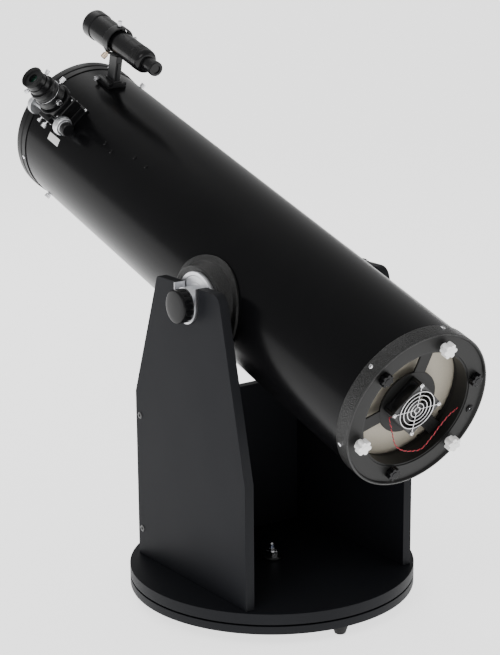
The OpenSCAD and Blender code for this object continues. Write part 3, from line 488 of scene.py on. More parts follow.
def clover(ring, lobe, lobes, core, total=120):
    """Round lobes whose centres lie on a ring, with a core between them."""
    out = []
    for k in range(total):
        a = 2 * math.pi * k / total
        off = (a + math.pi / lobes) % (2 * math.pi / lobes) - math.pi / lobes
        inside = lobe ** 2 - (ring * math.sin(off)) ** 2
        r = max(core, ring * math.cos(off) + math.sqrt(inside)) if inside > 0 else core
        out.append((r * math.cos(a), r * math.sin(a)))
    return out


def rounded_square(side, corner, total=96):
    """A square outline with round corners; its points lie at even angles."""
    out, half = [], side / 2 - corner
    for k in range(total):
        a = 2 * math.pi * k / total
        c, s = math.cos(a), math.sin(a)
        reach_out = (side / 2) / max(abs(c), abs(s))
        x, y = reach_out * c, reach_out * s
        if abs(x) > half and abs(y) > half:
            # slide in along the ray until the corner's circle is met
            cx, cy = math.copysign(half, x), math.copysign(half, y)
            along = c * cx + s * cy
            reach_out = along + math.sqrt(max(0.0, along ** 2 - cx ** 2 - cy ** 2 + corner ** 2))
            x, y = reach_out * c, reach_out * s
        out.append((x, y))
    return out


def soften(bm, width, limit=30, steps=2):
    """Rounds every edge that is sharper than the limit, in degrees."""
    sharp = [e for e in bm.edges
             if e.is_manifold and e.calc_face_angle(0) > math.radians(limit)]
    bmesh.ops.bevel(bm, geom=sharp, offset=width, offset_type="OFFSET", affect="EDGES",
                    segments=steps, profile=0.5, material=-1, clamp_overlap=True)


class Shells:
    """Gathers closed shells into one mesh."""

    def __init__(self):
        self.bm = bmesh.new()

    def add(self, shell, place=None, soft=0.0, paint=0, steps=2, limit=30):
        if soft:
            soften(shell, soft, limit, steps)
        bmesh.ops.recalc_face_normals(shell, faces=shell.faces)
        if place is not None:
            bmesh.ops.transform(shell, matrix=place, verts=shell.verts)
        for face in shell.faces:
            face.material_index = paint
        carrier = bpy.data.meshes.new("shell")
        shell.to_mesh(carrier)
        shell.free()
        self.bm.from_mesh(carrier)
        bpy.data.meshes.remove(carrier)
        return self


def settle(name, shells, place, finishes, body, nodes=(), crease=32):
    """Turns gathered shells into a finished piece that rides on a body."""
    mesh = bpy.data.meshes.new(name)
    bmesh.ops.transform(shells.bm, matrix=MM @ place, verts=shells.bm.verts)
    shells.bm.to_mesh(mesh)
    shells.bm.free()
    mesh.shade_smooth()
    mesh.set_sharp_from_angle(angle=math.radians(crease))
    for each in [finishes] if isinstance(finishes, str) else finishes:
        mesh.materials.append(finish(each))
    piece = bpy.data.objects.new(name, mesh)
    bpy.context.scene.collection.objects.link(piece)
    even = piece.modifiers.new("even_faces", "WEIGHTED_NORMAL")
    even.keep_sharp = True
    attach(piece, body)
    if nodes:
        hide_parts(*nodes)
    return piece


def dress(node, finish_name):
    """Gives a CAD node its finish."""
    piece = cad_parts[node]
    piece.data.materials.clear()
    piece.data.materials.append(finish(finish_name))


# ---- places ----


def shift(x, y, z):
    return Matrix.Translation((x, y, z))


def turn(degrees, axis):
    return Matrix.Rotation(math.radians(degrees), 4, axis)


TUBE = shift(0, AXIS_Y, AXIS_Z) @ turn(TILT, "X")
ALONG_Y = turn(-90, "X")
ALONG_X = turn(90, "Y")
BACK_X = turn(-90, "Y")
PANEL_PLANE = Matrix(((0, 0, 1, 0), (1, 0, 0, 0), (0, 1, 0, 0), (0, 0, 0, 1)))


def station(s):
    """Z along the tube from a distance s past the altitude axis."""
    return TUBE @ shift(0, s, 0) @ turn(-90, "X")


def spot(angle, radius):
    """A place on a circle round the tube's axis, its angle up from the right."""
    return turn(-angle, "Z") @ shift(radius, 0, 0)


def out_of_tube(angle, s):
    """Z straight out of the tube, Y along it, at an angle up from the left."""
    return TUBE @ shift(0, s, 0) @ turn(angle - 90, "Y")


def sides():
    """Left and right: name, sign, and Z outward from the tube's axis."""
    return (("left", -1, TUBE @ BACK_X), ("right", 1, TUBE @ ALONG_X))


def sizes():
    return bpy.context.scene.scope_sizes


def mm(value):
    return value * 1000


# ---- the fan's wire: right, up and forward of the tube's rear rim, in metres ----

WIRE_RADIUS = 0.0012
WIRE_ROUTE = [
    (-0.0462, -0.0123, 0.016), (-0.0485, -0.0148, 0.016), (-0.0495, -0.019, 0.014),
    (-0.047, -0.027, 0.011), (-0.044, -0.036, 0.009), (-0.040, -0.047, 0.007),
    (-0.036, -0.057, 0.006), (-0.030, -0.068, 0.005), (-0.021, -0.077, 0.005),
    (-0.010, -0.084, 0.005), (0.003, -0.089, 0.005), (0.017, -0.092, 0.005),
    (0.029, -0.093, 0.005), (0.039, -0.091, 0.005), (0.048, -0.084, 0.006),
    (0.055, -0.074, 0.006), (0.061, -0.064, 0.005), (0.066, -0.054, 0.005),
    (0.073, -0.045, 0.005), (0.081, -0.036, 0.006), (0.090, -0.029, 0.007),
    (0.099, -0.026, 0.009), (0.107, -0.025, 0.012), (0.113, -0.0246, 0.014),
    (0.119, -0.0246, 0.015), (0.1252, -0.0246, 0.015),
]


def smooth_path(points, per_step=6):
    """A curve through every point (Catmull-Rom)."""
    out = []
    ends = [2 * points[0] - points[1], *points, 2 * points[-1] - points[-2]]
    for a, b, c, d in zip(ends, ends[1:], ends[2:], ends[3:]):
        for k in range(per_step):
            t = k / per_step
            out.append(0.5 * ((2 * b) + (c - a) * t + (2 * a - 5 * b + 4 * c - d) * t ** 2
                              + (3 * b - a - 3 * c + d) * t ** 3))
    return out + [points[-1]]


def path_length(points):
    return sum((b - a).length for a, b in zip(points, points[1:]))


def strand(path, radius, sides_n, offset, twist, phase):
    """A tube that winds round a path at a small offset."""
    bm = bmesh.new()
    rings, run = [], 0.0
    for k, here in enumerate(path):
        ahead, behind = path[min(k + 1, len(path) - 1)], path[max(k - 1, 0)]
        t = (ahead - behind).normalized()
        u = t.cross(Vector((0, 0, 1))).normalized()
        v = u.cross(t)
        if k:
            run += (here - path[k - 1]).length
        a = 2 * math.pi * run / twist + phase
        centre = here + offset * (math.cos(a) * u + math.sin(a) * v)
        rings.append([bm.verts.new(centre + radius * (
            math.cos(2 * math.pi * j / sides_n) * u + math.sin(2 * math.pi * j / sides_n) * v))
            for j in range(sides_n)])
    for low, high in zip(rings, rings[1:]):
        for j in range(sides_n):
            bm.faces.new((low[j], low[(j + 1) % sides_n], high[(j + 1) % sides_n], high[j]))
    bm.faces.new(rings[0][::-1])
    bm.faces.new(rings[-1])
    return bm


class TELESCOPE_OT_fan_wire(bpy.types.Operator):
    """Red and black twisted pair from the fan to the power socket"""

    bl_idname = "telescope.fan_wire"
    bl_label = "Fan wire"

    def execute(self, context):
        place = station(REAR_RIM)
        local = [Vector((x, -h, s)) * 1000 for x, h, s in WIRE_ROUTE]
        path = smooth_path(local)
        shells = Shells()
        core = mm(WIRE_RADIUS) / 2
        for paint, phase in enumerate((0.0, math.pi)):
            shells.add(strand(path, core * 1.02, 8, core, mm(sizes().wire_twist), phase), paint=paint)
        piece = settle("fan_wire_pair", shells, place, ("red sheath", "black sheath"),
                       "optical_tube", ["fan_wire"], 60)
        route = [(MM @ place) @ p for p in path]
        round(path_length(route), 4)
        return {"FINISHED"}


# ---- studio ----


class TELESCOPE_OT_studio(bpy.types.Operator):
    """Camera, pale floor and soft light"""

    bl_idname = "telescope.studio"
    bl_label = "Studio"

    def execute(self, context):
        scene = context.scene
        studio = scene.scope_studio
        camera = bpy.data.cameras.new("camera")
        camera.sensor_fit = "HORIZONTAL"
        camera.sensor_width = 36
        camera.lens = studio.lens
        camera.clip_end = 900
        camera_object = bpy.data.objects.new("camera", camera)
        heading, drop, roll = math.radians(35.52), math.radians(14.52), math.radians(-0.44)
        forward = Vector((math.sin(heading) * math.cos(drop),
                          math.cos(heading) * math.cos(drop), -math.sin(drop)))
        level = Vector((math.cos(heading), -math.sin(heading), 0))
        upward = level.cross(forward)
        right = math.cos(roll) * level + math.sin(roll) * upward
        top = math.cos(roll) * upward - math.sin(roll) * level
        basis = Matrix((right, top, -forward)).transposed().to_4x4()
        camera_object.matrix_world = Matrix.Translation((-1.98618, -2.71319, 1.41268)) @ basis
        scene.collection.objects.link(camera_object)
        scene.camera = camera_object

        world = bpy.data.worlds.new("surround")
        world.use_nodes = True
        surround = world.node_tree.nodes["Background"]
        surround.inputs["Color"].default_value = (1, 1, 1, 1)
        surround.inputs["Strength"].default_value = studio.sky
        scene.world = world

        self.light(scene, "key", (-2.6, -1.6, 3.4), (0, 0, 0.5), 2.2, 60 * studio.key)
        self.light(scene, "fill", (3.4, -2.2, 2.2), (0, 0, 0.5), 2.0, 22 * studio.key)
        self.light(scene, "back", (0.5, 3.4, 3.0), (0, 0, 0.6), 2.4, 45 * studio.key)

        bm = bmesh.new()
        bmesh.ops.create_circle(bm, cap_ends=True, radius=400, segments=192)
        mesh = bpy.data.meshes.new("floor")
        bm.to_mesh(mesh)
        bm.free()
        r = Recipe("floor_paint")
        grain = r.noise(r.place(), 30, 3)
        tint = tuple(scene.scope_colours.floor)
        mesh.materials.append(r.surface(
            Base_Color=r.blend(grain, scaled(tint, 0.99), scaled(tint, 1.01)), Roughness=0.75,
            Emission_Color=(1, 1, 1, 1), Emission_Strength=studio.glow))
        floor = bpy.data.objects.new("floor", mesh)
        scene.collection.objects.link(floor)
        return {"FINISHED"}

    def light(self, scene, name, where, target, size, power):
        lamp = bpy.data.lights.new(name, "AREA")
        lamp.shape = "DISK"
        lamp.size = size
        lamp.energy = power
        lamp_object = bpy.data.objects.new(name, lamp)
        lamp_object.location = where
        aim = Vector(target) - Vector(where)
        lamp_object.rotation_euler = aim.to_track_quat("-Z", "Y").to_euler()
        scene.collection.objects.link(lamp_object)


# ---- rocker box ----


class TELESCOPE_OT_boards(bpy.types.Operator):
    """Ground board, rotating board and rubber feet"""

    bl_idname = "telescope.boards"
    bl_label = "Round boards"

    def execute(self, context):
        soft = mm(sizes().board_edge)
        for name, node, body in (("ground_disc", "ground_board", "ground"),
                                 ("rocker_disc", "base_board", "rocker")):
            low, high = reach(node, 0, 2), reach(node, 1, 2)
            outline = [(5.1, low), (BOARD_R, low), (BOARD_R, high), (5.1, high)]
            shells = Shells().add(turned(outline, 256, closed=True), soft=soft)
            settle(name, shells, Matrix(), "laminate board", body, [node])
        for node, finish_name in (("azimuth_lower_race", "race steel"),
                                  ("azimuth_upper_race", "race steel"),
                                  ("azimuth_roller_cage", "nylon")):
            dress(node, finish_name)
        top = reach("feet", 1, 2)
        shells = Shells()
        for angle in (24, 144, 264):
            place = turn(angle, "Z") @ shift(BOARD_R - 28, 0, 0)
            outline = [(5, 0), (9, 0), (10.4, 1.0), (11, 2.2), (13.2, 9), (15.6, 16), (16.8, 20),
                       (17, top), (5, top)]
            shells.add(turned(outline, 64, closed=True), place, 0.4)
            shells.add(rod(4.6, 12, 14.5), place, 0.5)
        settle("rubber_feet", shells, Matrix(), "rubber", "ground", ["feet"])
        return {"FINISHED"}


class TELESCOPE_OT_pivot(bpy.types.Operator):
    """Pivot bolt with its washer and nut"""

    bl_idname = "telescope.pivot"
    bl_label = "Azimuth pivot"

    def execute(self, context):
        low, high = reach("pivot_bolt", 0, 2), reach("pivot_bolt", 1, 2)
        shells = Shells()
        shells.add(prism(lobed(10, 1.34, 6, 8, 0.5), 6), shift(0, 0, low), 0.5)
        shells.add(rod(4.6, low + 5, high - 2), paint=0)
        pitch, z = 1.5, BOARD_TOP + 4
        while z < high - 3.5:
            shells.add(turned([(4.5, z), (5, z + 0.6), (5, z + 0.8), (4.5, z + pitch - 0.1)], 40), paint=0)
            z += pitch
        shells.add(turned([(0, high - 4), (4.9, high - 4), (4.9, high - 2.4), (3.6, high - 0.5),
                           (2.2, high), (0, high)], 40), paint=1)
        settle("pivot_stud", shells, Matrix(), ("blued steel", "nickel plate"), "ground",
               ["pivot_bolt"])
        z0 = BOARD_TOP + 0.3
        shells = Shells()
        shells.add(turned([(5.1, z0), (22, z0), (22, z0 + 3), (20.5, z0 + 5), (5.1, z0 + 5)], 72,
                          closed=True), soft=0.4, paint=1)
        hexagon = [(12.4 * math.cos(math.radians(a)), 12.4 * math.sin(math.radians(a)))
                   for a in range(0, 360, 60)]
        nut = prism(hexagon, 10)
        shells.add(nut, shift(0, 0, z0 + 4.8), 0.7)
        shells.add(turned([(5.1, z0 + 14), (7.5, z0 + 14), (7.5, z0 + 20), (6.4, z0 + 21), (5.1, z0 + 21)],
                          48, closed=True), soft=0.3)
        settle("pivot_locknut", shells, Matrix(), ("nickel plate", "black plastic"), "nut",
               ["pivot_nut"])
        return {"FINISHED"}


def panel_outline():
    """Side panel with its U slot, as (Y, Z) points."""
    rear, front = reach("right_panel", 0, 1), reach("right_panel", 1, 1)
    y, z = AXIS_Y, PANEL_TOP
    slot = arc((y, AXIS_Z), 36, 0, -180, 32)
    return [
        (rear, BOARD_TOP), (front, BOARD_TOP), (front, BOARD_TOP + 343),
        *arc((y + 96.5, z - 8), 8, 20, 90, 6), (y + 36, z), *slot, (y - 36, z),
        *arc((y - 84.5, z - 24), 24, 90, 168, 10), (rear, BOARD_TOP + 245)]


class TELESCOPE_OT_panels(bpy.types.Operator):
    """Side panels, front brace, their screws and the steel cradles"""

    bl_idname = "telescope.panels"
    bl_label = "Side panels"

    def execute(self, context):
        soft = mm(sizes().panel_edge)
        thick = PANEL_OUT - PANEL_IN
        for name, low in (("left", -PANEL_OUT), ("right", PANEL_IN)):
            shells = Shells().add(prism(panel_outline(), thick), PANEL_PLANE @ shift(0, 0, low), soft)
            settle(name + "_side", shells, Matrix(), "laminate panel", "rocker",
                   [name + "_panel"])
        low, high = (Vector(c) * 1000 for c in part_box("front_brace"))
        settle("brace_board", Shells().add(block(low, high), soft=soft), Matrix(),
               "laminate brace", "rocker", ["front_brace"])
        self.cradles()
        self.screws((low.y + high.y) / 2)
        return {"FINISHED"}

    def cradles(self):
        y, top = AXIS_Y, PANEL_TOP
        outer, inner = 35.95, 34.2
        outline = [(y + outer, top), (y + inner, top), *arc((y, AXIS_Z), inner, 0, -180, 40),
                   (y - inner, top), (y - outer, top), *arc((y, AXIS_Z), outer, -180, 0, 40)]
        shells = Shells()
        for low in (-PANEL_OUT - 4.5, PANEL_IN + 0.2):
            shells.add(prism(outline, PANEL_OUT - PANEL_IN + 4.3), PANEL_PLANE @ shift(0, 0, low), 0.3)
        settle("cradle_strips", shells, Matrix(), "strip steel", "rocker", ["cradles"])

    def screws(self, y):
        """Round heads with a round socket; the bodies lie inside the wood."""
        shells = Shells()
        head = [(0, 0), (7.2, 0), (7.2, 0.5), (6.4, 1.3), (4.2, 1.7), (2.7, 1.75), (2.7, 0.4), (0, 0.4)]
        for sign in (-1, 1):
            for z in (BOARD_TOP + 57.5, BOARD_TOP + 295):
                place = shift(sign * (PANEL_OUT - 0.05), y, z) @ (ALONG_X if sign > 0 else BACK_X)
                shells.add(turned(head, 40), place, 0.15)
                shells.add(rod(3, -40, 0.2, 24), place)
            for y2 in (reach("right_panel", 0, 1) + 42, AXIS_Y + 10, reach("right_panel", 1, 1) - 70):
                place = shift(sign * (PANEL_IN + PANEL_OUT) / 2, y2, reach("base_board", 0, 2))
                shells.add(rod(3, 1, 60, 24), place)
                shells.add(rod(6, 0, 4, 32), place, 0.3)
        settle("confirmat_screws", shells, Matrix(), "screw black", "rocker", ["panel_screws"])


# ---- altitude bearings ----


class TELESCOPE_OT_bearings(bpy.types.Operator):
    """Cast slide housings, alloy hubs and fluted knobs"""

    bl_idname = "telescope.bearings"
    bl_label = "Altitude bearings"

    def execute(self, context):
        for name, sign, place in sides():
            self.hub(name, place)
            self.knob(name, place)
            self.housing(name, sign, place)
        return {"FINISHED"}

    def hub(self, name, place):
        soft = mm(sizes().machined_edge)
        disc_in, disc_out, boss_out = PANEL_IN - 8.3, PANEL_IN - 0.3, PANEL_OUT + 5.4
        outline = [
            (4.1, disc_in), (60, disc_in), (60, disc_out), (53, disc_out), (52, disc_out - 0.8),
            (40, disc_out - 0.8), (39, disc_out), (34.1, disc_out), (34.1, boss_out),
            (24, boss_out), (23, boss_out - 0.8), (4.1, boss_out - 0.8)]
        shells = Shells().add(turned(outline, 128, closed=True), soft=soft)
        shells.add(block((-7, -13, 158.5), (7, 13, 164)), soft=0.4)
        settle(name + "_hub_disc", shells, place, "bare alloy", "hubs", [name + "_bearing_hub"])

    def knob(self, name, place):
        flutes = sizes().knob_flutes
        base = PANEL_OUT + 5.7
        shells = Shells()
        shells.add(prism(lobed(32.5, 2.2, flutes, 14, 0.4), 16), place=shift(0, 0, base), soft=0.8, steps=3)
        shells.add(turned([(0, base + 15), (31.9, base + 15), (32.3, base + 16.2), (32.3, base + 18.8),
                           (31.2, base + 20.6), (29, base + 21.6), (20, base + 22.5), (0, base + 23)], 128))
        shells.add(rod(3.95, TUBE_R + 4, base + 1), paint=1)
        settle(name + "_knob", shells, place, ("gloss plastic", "nickel plate"), name + "_knob",
               [name + "_altitude_knob"])

    def housing(self, name, sign, place):
        """Oval casting: a flange that hugs the tube and a raised oval with a flat face."""
        bm = bmesh.new()
        face_x = PANEL_IN - 8.6
        # semi-axes along and round the tube, and the height over the tube's centre; None hugs the tube
        rings = [(99, 81, None, 0.4), (99, 81, None, 4.4), (97.4, 79.4, None, 6.0), (90, 72, None, 6.4),
                 (87, 69, None, 8.0), (86, 68, face_x - 4, 0), (84.4, 66.4, face_x - 1.4, 0),
                 (82, 64, face_x, 0), (60, 44, face_x, 0), (38, 6.6, face_x, 0)]
        made = bmesh.ops.create_circle(bm, cap_ends=False, radius=1, segments=96)
        loop = made["verts"]
        for v in loop:
            v.co = Vector((v.co.y, v.co.x, 0))
        edges = list(bm.edges)
        base = [v.co.copy() for v in loop]
        for k, (along, round_, height, lift) in enumerate(rings):
            if k:
                grown = bmesh.ops.extrude_edge_only(bm, edges=edges)["geom"]
                fresh = [g for g in grown if isinstance(g, bmesh.types.BMVert)]
                edges = [g for g in grown if isinstance(g, bmesh.types.BMEdge)
                         and all(v in fresh for v in g.verts)]
                linked = {v: next(o for o in (e.other_vert(v) for e in v.link_edges)
                                  if o not in fresh) for v in fresh}
                order = {old: i for i, old in enumerate(loop)}
                loop = sorted(fresh, key=lambda v: order[linked[v]])
            for v, unit in zip(loop, base):
                up, s = unit.x * round_, unit.y * along
                tube = math.sqrt(max(0.0, TUBE_R ** 2 - up ** 2))
                if height is None:
                    scale = (TUBE_R + lift) / TUBE_R
                    v.co = Vector((up * scale, s, tube * scale))
                else:
                    v.co = Vector((up, s, height))
        bmesh.ops.recalc_face_normals(bm, faces=bm.faces)
        outward = sum((f.normal.z for f in bm.faces), 0.0)
        if outward < 0:
            bmesh.ops.reverse_faces(bm, faces=bm.faces)
        shells = Shells()
        shells.bm = bm
        # the slot for the stud: a short wall down into the casting
        rim = [e for e in bm.edges if e.is_boundary and all(v.co.z > face_x - 0.5 for v in e.verts)]
        walls = bmesh.ops.extrude_edge_only(bm, edges=rim)["geom"]
        bmesh.ops.translate(bm, vec=(0, 0, -7), verts=[g for g in walls if isinstance(g, bmesh.types.BMVert)])
        if sign > 0:
            # on the right the tube's up is the local -X
            bmesh.ops.rotate(bm, cent=(0, 0, 0), matrix=Matrix.Rotation(math.pi, 3, "Z"), verts=bm.verts)
        settle(name + "_casting", shells, place, "hammered enamel", "optical_tube",
               [name + "_slide_housing"], 50)


# ---- the tube and its rings ----


class TELESCOPE_OT_tube(bpy.types.Operator):
    """Rolled steel tube, its end rings, label plate and plugs"""

    bl_idname = "telescope.tube"
    bl_label = "Optical tube"

    def execute(self, context):
        self.shell()
        self.sky_ring()
        self.rear_casting()
        self.screws()
        self.trim()
        return {"FINISHED"}

    def shell(self):
        place = station(REAR_RIM + 9.1)
        length = SKY_RIM - 3.1 - (REAR_RIM + 9.1)
        bm = turned([(TUBE_R, 0), (TUBE_R, length), (TUBE_R - 1.2, length), (TUBE_R - 1.2, 0)], 256,
                    closed=True)
        for k in range(1, 12):
            plane = (0, 0, length * k / 12)
            bmesh.ops.bisect_plane(bm, geom=bm.verts[:] + bm.edges[:] + bm.faces[:],
                                   plane_co=plane, plane_no=(0, 0, 1))
        shells = Shells().add(bm)
        for face in shells.bm.faces:
            centre = face.calc_center_median()
            face.material_index = 1 if centre.xy.length < TUBE_R - 0.6 else 0
        piece = settle("tube_skin", shells, place, ("tube enamel", "tube lining"), "optical_tube",
                       ["tube"])
        self.cut_port(piece)

    def cut_port(self, piece):
        """Opens the hole under the focuser."""
        cutter_shells = Shells().add(rod(29.5, 120, 180, 64))
        mesh = bpy.data.meshes.new("port")
        bmesh.ops.transform(cutter_shells.bm, matrix=MM @ FOCUSER, verts=cutter_shells.bm.verts)
        cutter_shells.bm.to_mesh(mesh)
        cutter_shells.bm.free()
        cutter = bpy.data.objects.new("port", mesh)
        bpy.context.scene.collection.objects.link(cutter)
        cut = piece.modifiers.new("port", "BOOLEAN")
        cut.operation = "DIFFERENCE"
        cut.object = cutter
        cut.solver = "EXACT"
        piece.modifiers["even_faces"].show_viewport = False
        bpy.context.view_layer.update()
        baked = bpy.data.meshes.new_from_object(piece.evaluated_get(bpy.context.evaluated_depsgraph_get()))
        piece.modifiers.remove(cut)
        old = piece.data
        piece.data = baked
        baked.name = "tube_skin"
        bpy.data.meshes.remove(old)
        bpy.data.objects.remove(cutter)
        bpy.data.meshes.remove(mesh)
        baked.shade_smooth()
        baked.set_sharp_from_angle(angle=math.radians(32))
        piece.modifiers["even_faces"].show_viewport = True

    def sky_ring(self):
        outline = [
            (152.6, -34), (154.0, -34), (154.3, -33.6), (154.3, -19), (155.2, -18), (155.7, -16.4),
            (155.7, -2), (155.2, -0.7), (154.0, 0), (148.2, 0), (147, -0.5), (146.5, -1.4), (146.5, -3),
            (152.6, -3)]
        shells = Shells().add(turned(outline, 256, closed=True))
        settle("sky_ring", shells, station(SKY_RIM), "ring enamel", "optical_tube", ["front_ring"],
               40)

    def rear_casting(self):
        skirt = [
            (152.6, 32), (154.6, 32), (155.3, 31.4), (155.6, 30.4), (155.6, 2.4), (155.2, 1), (154, 0.2),
            (152.6, 0), (152.6, 9)]
        web = [
            (152.7, 0), (151.4, 0.3), (150.5, 1.4), (150.1, 3.0), (149.2, 4), (120, 4), (118.6, 4.5),
            (118, 5.6), (118, 9), (152.7, 9)]
        shells = Shells()
        shells.add(turned(skirt, 256, closed=True))
        shells.add(turned(web, 256, closed=True), paint=1)
        cup = turned([(115, 6), (118.2, 6), (118.2, 35), (115, 35)], 160, closed=True)
        shells.add(cup, soft=0.4, paint=1)
        settle("rear_casting", shells, station(REAR_RIM), ("hammered enamel", "satin casting"),
               "optical_tube", ["rear_ring"], 40)
        shells = Shells()
        shells.add(turned([(38, 30), (61.9, 30), (61.9, 35), (38, 35)], 128, closed=True), soft=0.8)
        for angle in COLLIMATION_ANGLES:
            shells.add(block((56, -13.5, 30.5), (113.8, 13.5, 34.5)), turn(-angle, "Z"), 1.2)
        settle("fan_carrier", shells, station(REAR_RIM), "satin casting", "optical_tube",
               ["fan_spider"], 40)

    def screws(self):
        """Pan heads with a crossed slot."""
        shells = Shells()
        rings = ((SKY_RIM - 27, (-16, 104, 224), 154.35),
                 (REAR_RIM + 21, (-19, 41, 101, 161, 221, 281), 155.65))
        for s, angles, seat in rings:
            for angle in angles:
                place = out_of_tube(angle, s) @ shift(0, 0, seat)
                pan_screw(shells, place, 4.2, 2.4)
        settle("rim_screws", shells, Matrix(), ("nickel plate", "screw black"), "optical_tube",
               ["ring_screws"])

    def trim(self):
        """Blank label plate and four black hole plugs."""
        shells = Shells().add(saddle(-8, 8, 605 - 626, 647 - 626, TUBE_R, TUBE_R + 0.35), soft=0.12)
        settle("label_plate", shells, out_of_tube(18, 626), "label stock", "optical_tube")
        shells = Shells()
        for s, angle in ((479, 42), (448, 40), (383, 48), (340, 48)):
            place = out_of_tube(angle, s) @ shift(0, 0, TUBE_R - 0.1)
            shells.add(turned([(0, 0), (4.2, 0), (4.2, 0.8), (3.2, 1.7), (0, 2)], 32), place)
        settle("hole_plugs", shells, Matrix(), "gloss plastic", "optical_tube")


def pan_screw(shells, place, radius, height, paint=0, slot_paint=1):
    head = [(0, -0.3), (radius, -0.3), (radius, height * 0.4), (radius * 0.85, height * 0.8),
            (radius * 0.5, height), (0, height)]
    shells.add(turned(head, 32), place, paint=paint)
    for quarter in (0, 90):
        bar = block((-radius * 0.55, -radius * 0.1, height * 0.5),
                    (radius * 0.55, radius * 0.1, height * 1.03))
        shells.add(bar, place @ turn(quarter, "Z"), paint=slot_paint)


def saddle(x0, x1, y0, y1, inner, outer, steps=16):
    """A curved plate that lies on a cylinder round Y."""
    a0, a1 = (math.degrees(math.asin(x / outer)) for x in (x0, x1))
    top = arc((0, 0), outer, 90 - a0, 90 - a1, steps)
    under = arc((0, 0), inner, 90 - a1, 90 - a0, steps)
    bm = prism([(x, -z) for x, z in top + under], y1 - y0)
    bmesh.ops.transform(bm, matrix=shift(0, y0, 0) @ turn(-90, "X"), verts=bm.verts)
    return bm


# ---- secondary mirror and spider ----

VANES = (40, 130, 220, 310)
FOCUSER_ANGLE, FOCUSER_S = 42, 642
FINDER_ANGLE, FINDER_S = 88, 651
FOCUSER = out_of_tube(FOCUSER_ANGLE, FOCUSER_S)


class TELESCOPE_OT_secondary(bpy.types.Operator):
    """Spider, vane nuts, holder and flat mirror"""

    bl_idname = "telescope.secondary"
    bl_label = "Secondary mirror"

    def execute(self, context):
        dress("spider", "flat black")
        dress("secondary_holder", "flat black")
        dress("secondary_mirror", "mirror")
        shells = Shells()
        for angle in VANES:
            place = out_of_tube(angle, FOCUSER_S + 47) @ shift(0, 0, TUBE_R + 0.05)
            shells.add(turned([(2.05, 0), (4, 0), (4, 2.2), (2.05, 2.2)], 32, closed=True), place, 0.2)
            shells.add(prism(lobed(6.2, 0.5, 20, 6, 0.6), 8.2), place @ shift(0, 0, 2.2), 0.4)
        settle("vane_thumb_nuts", shells, Matrix(), "nickel plate", "optical_tube", ["vane_nuts"])
        return {"FINISHED"}


# ---- mirror end ----


class TELESCOPE_OT_mirror_end(bpy.types.Operator):
    """Primary mirror, its cell, springs and the six rear knobs"""

    bl_idname = "telescope.mirror_end"
    bl_label = "Mirror end"

    def execute(self, context):
        dress("mirror_cell", "flat black")
        self.mirror()
        self.springs()
        for k, angle in enumerate(COLLIMATION_ANGLES, 1):
            self.collimation_knob(k, angle)
        for k, angle in enumerate(LOCK_ANGLES, 1):
            self.lock_knob(k, angle)
        return {"FINISHED"}

    def mirror(self):
        radius, thick, focal = 127.0, 32.0, 1250.0
        sag = radius ** 2 / (4 * focal)
        bowl = [(radius * k / 24, thick - sag + (radius * k / 24) ** 2 / (4 * focal))
                for k in range(24, -1, -1)]
        outline = [(0, 0), (radius - 1.2, 0), (radius, 1.2), (radius, thick - 1), *bowl[:1], *bowl[1:]]
        settle("primary_disc", Shells().add(turned(outline, 192)), station(-398), "mirror",
               "optical_tube", ["primary_mirror"], 40)

    def springs(self):
        shells = Shells()
        coil, wire, turns = 6.6, 0.9, 5
        length = -412 + 441 - 2 * wire - 0.1
        for angle in COLLIMATION_ANGLES:
            circle = [(coil + wire * math.cos(a), wire * math.sin(a))
                      for a in (2 * math.pi * k / 8 for k in range(8))]
            bm = turned(circle, turns * 24, closed=True, sweep=360.0 * turns, rise=length)
            bmesh.ops.holes_fill(bm, edges=bm.edges, sides=8)
            shells.add(bm, spot(angle, BOLT_CIRCLE) @ shift(0, 0, -441 + wire))
        settle("cell_springs", shells, station(0), "race steel", "optical_tube",
               ["collimation_springs"], 60)

    def collimation_knob(self, k, angle):
        place = station(REAR_WEB) @ spot(angle, BOLT_CIRCLE) @ turn(12 * k, "Z")
        lobes = sizes().lobes
        shells = Shells()
        shells.add(rod(7, -6.5, -0.3, 48), soft=0.5)
        shells.add(prism(clover(10, 4.4, lobes, 10.4), 14.8), shift(0, 0, -21.3), 1.3, steps=3, limit=45)
        shells.add(turned([(0, -22.3), (6.0, -22.3), (7.4, -21.2), (7.4, -6), (0, -6)], 64), soft=0.3)
        shells.add(rod(3, -1, 42, 32), paint=1)
        settle("collimation_grip_%d" % k, shells, place, ("white plastic", "nickel plate"),
               "collimator_%d" % k, ["collimation_knob_%d" % k])

    def lock_knob(self, k, angle):
        place = station(REAR_WEB) @ spot(angle, BOLT_CIRCLE)
        shells = Shells()
        shells.add(prism(clover(9.6, 3.3, 7, 9.6), 11), shift(0, 0, -11.3), 1.0, steps=3, limit=45)
        shells.add(turned([(0, -12.3), (5.4, -12.3), (6.4, -11.4), (7, -9), (7, -0.3), (0, -0.3)], 64))
        shells.add(rod(3, -1, 33, 32), paint=1)
        settle("lock_grip_%d" % k, shells, place, ("gloss plastic", "nickel plate"),
               "locker_%d" % k, ["lock_knob_%d" % k])


# ---- cooling fan ----

FAN = station(-445.2) @ turn(-47.5, "Z")
FAN_DEPTH = 25.0
FAN_PITCH = 71.5


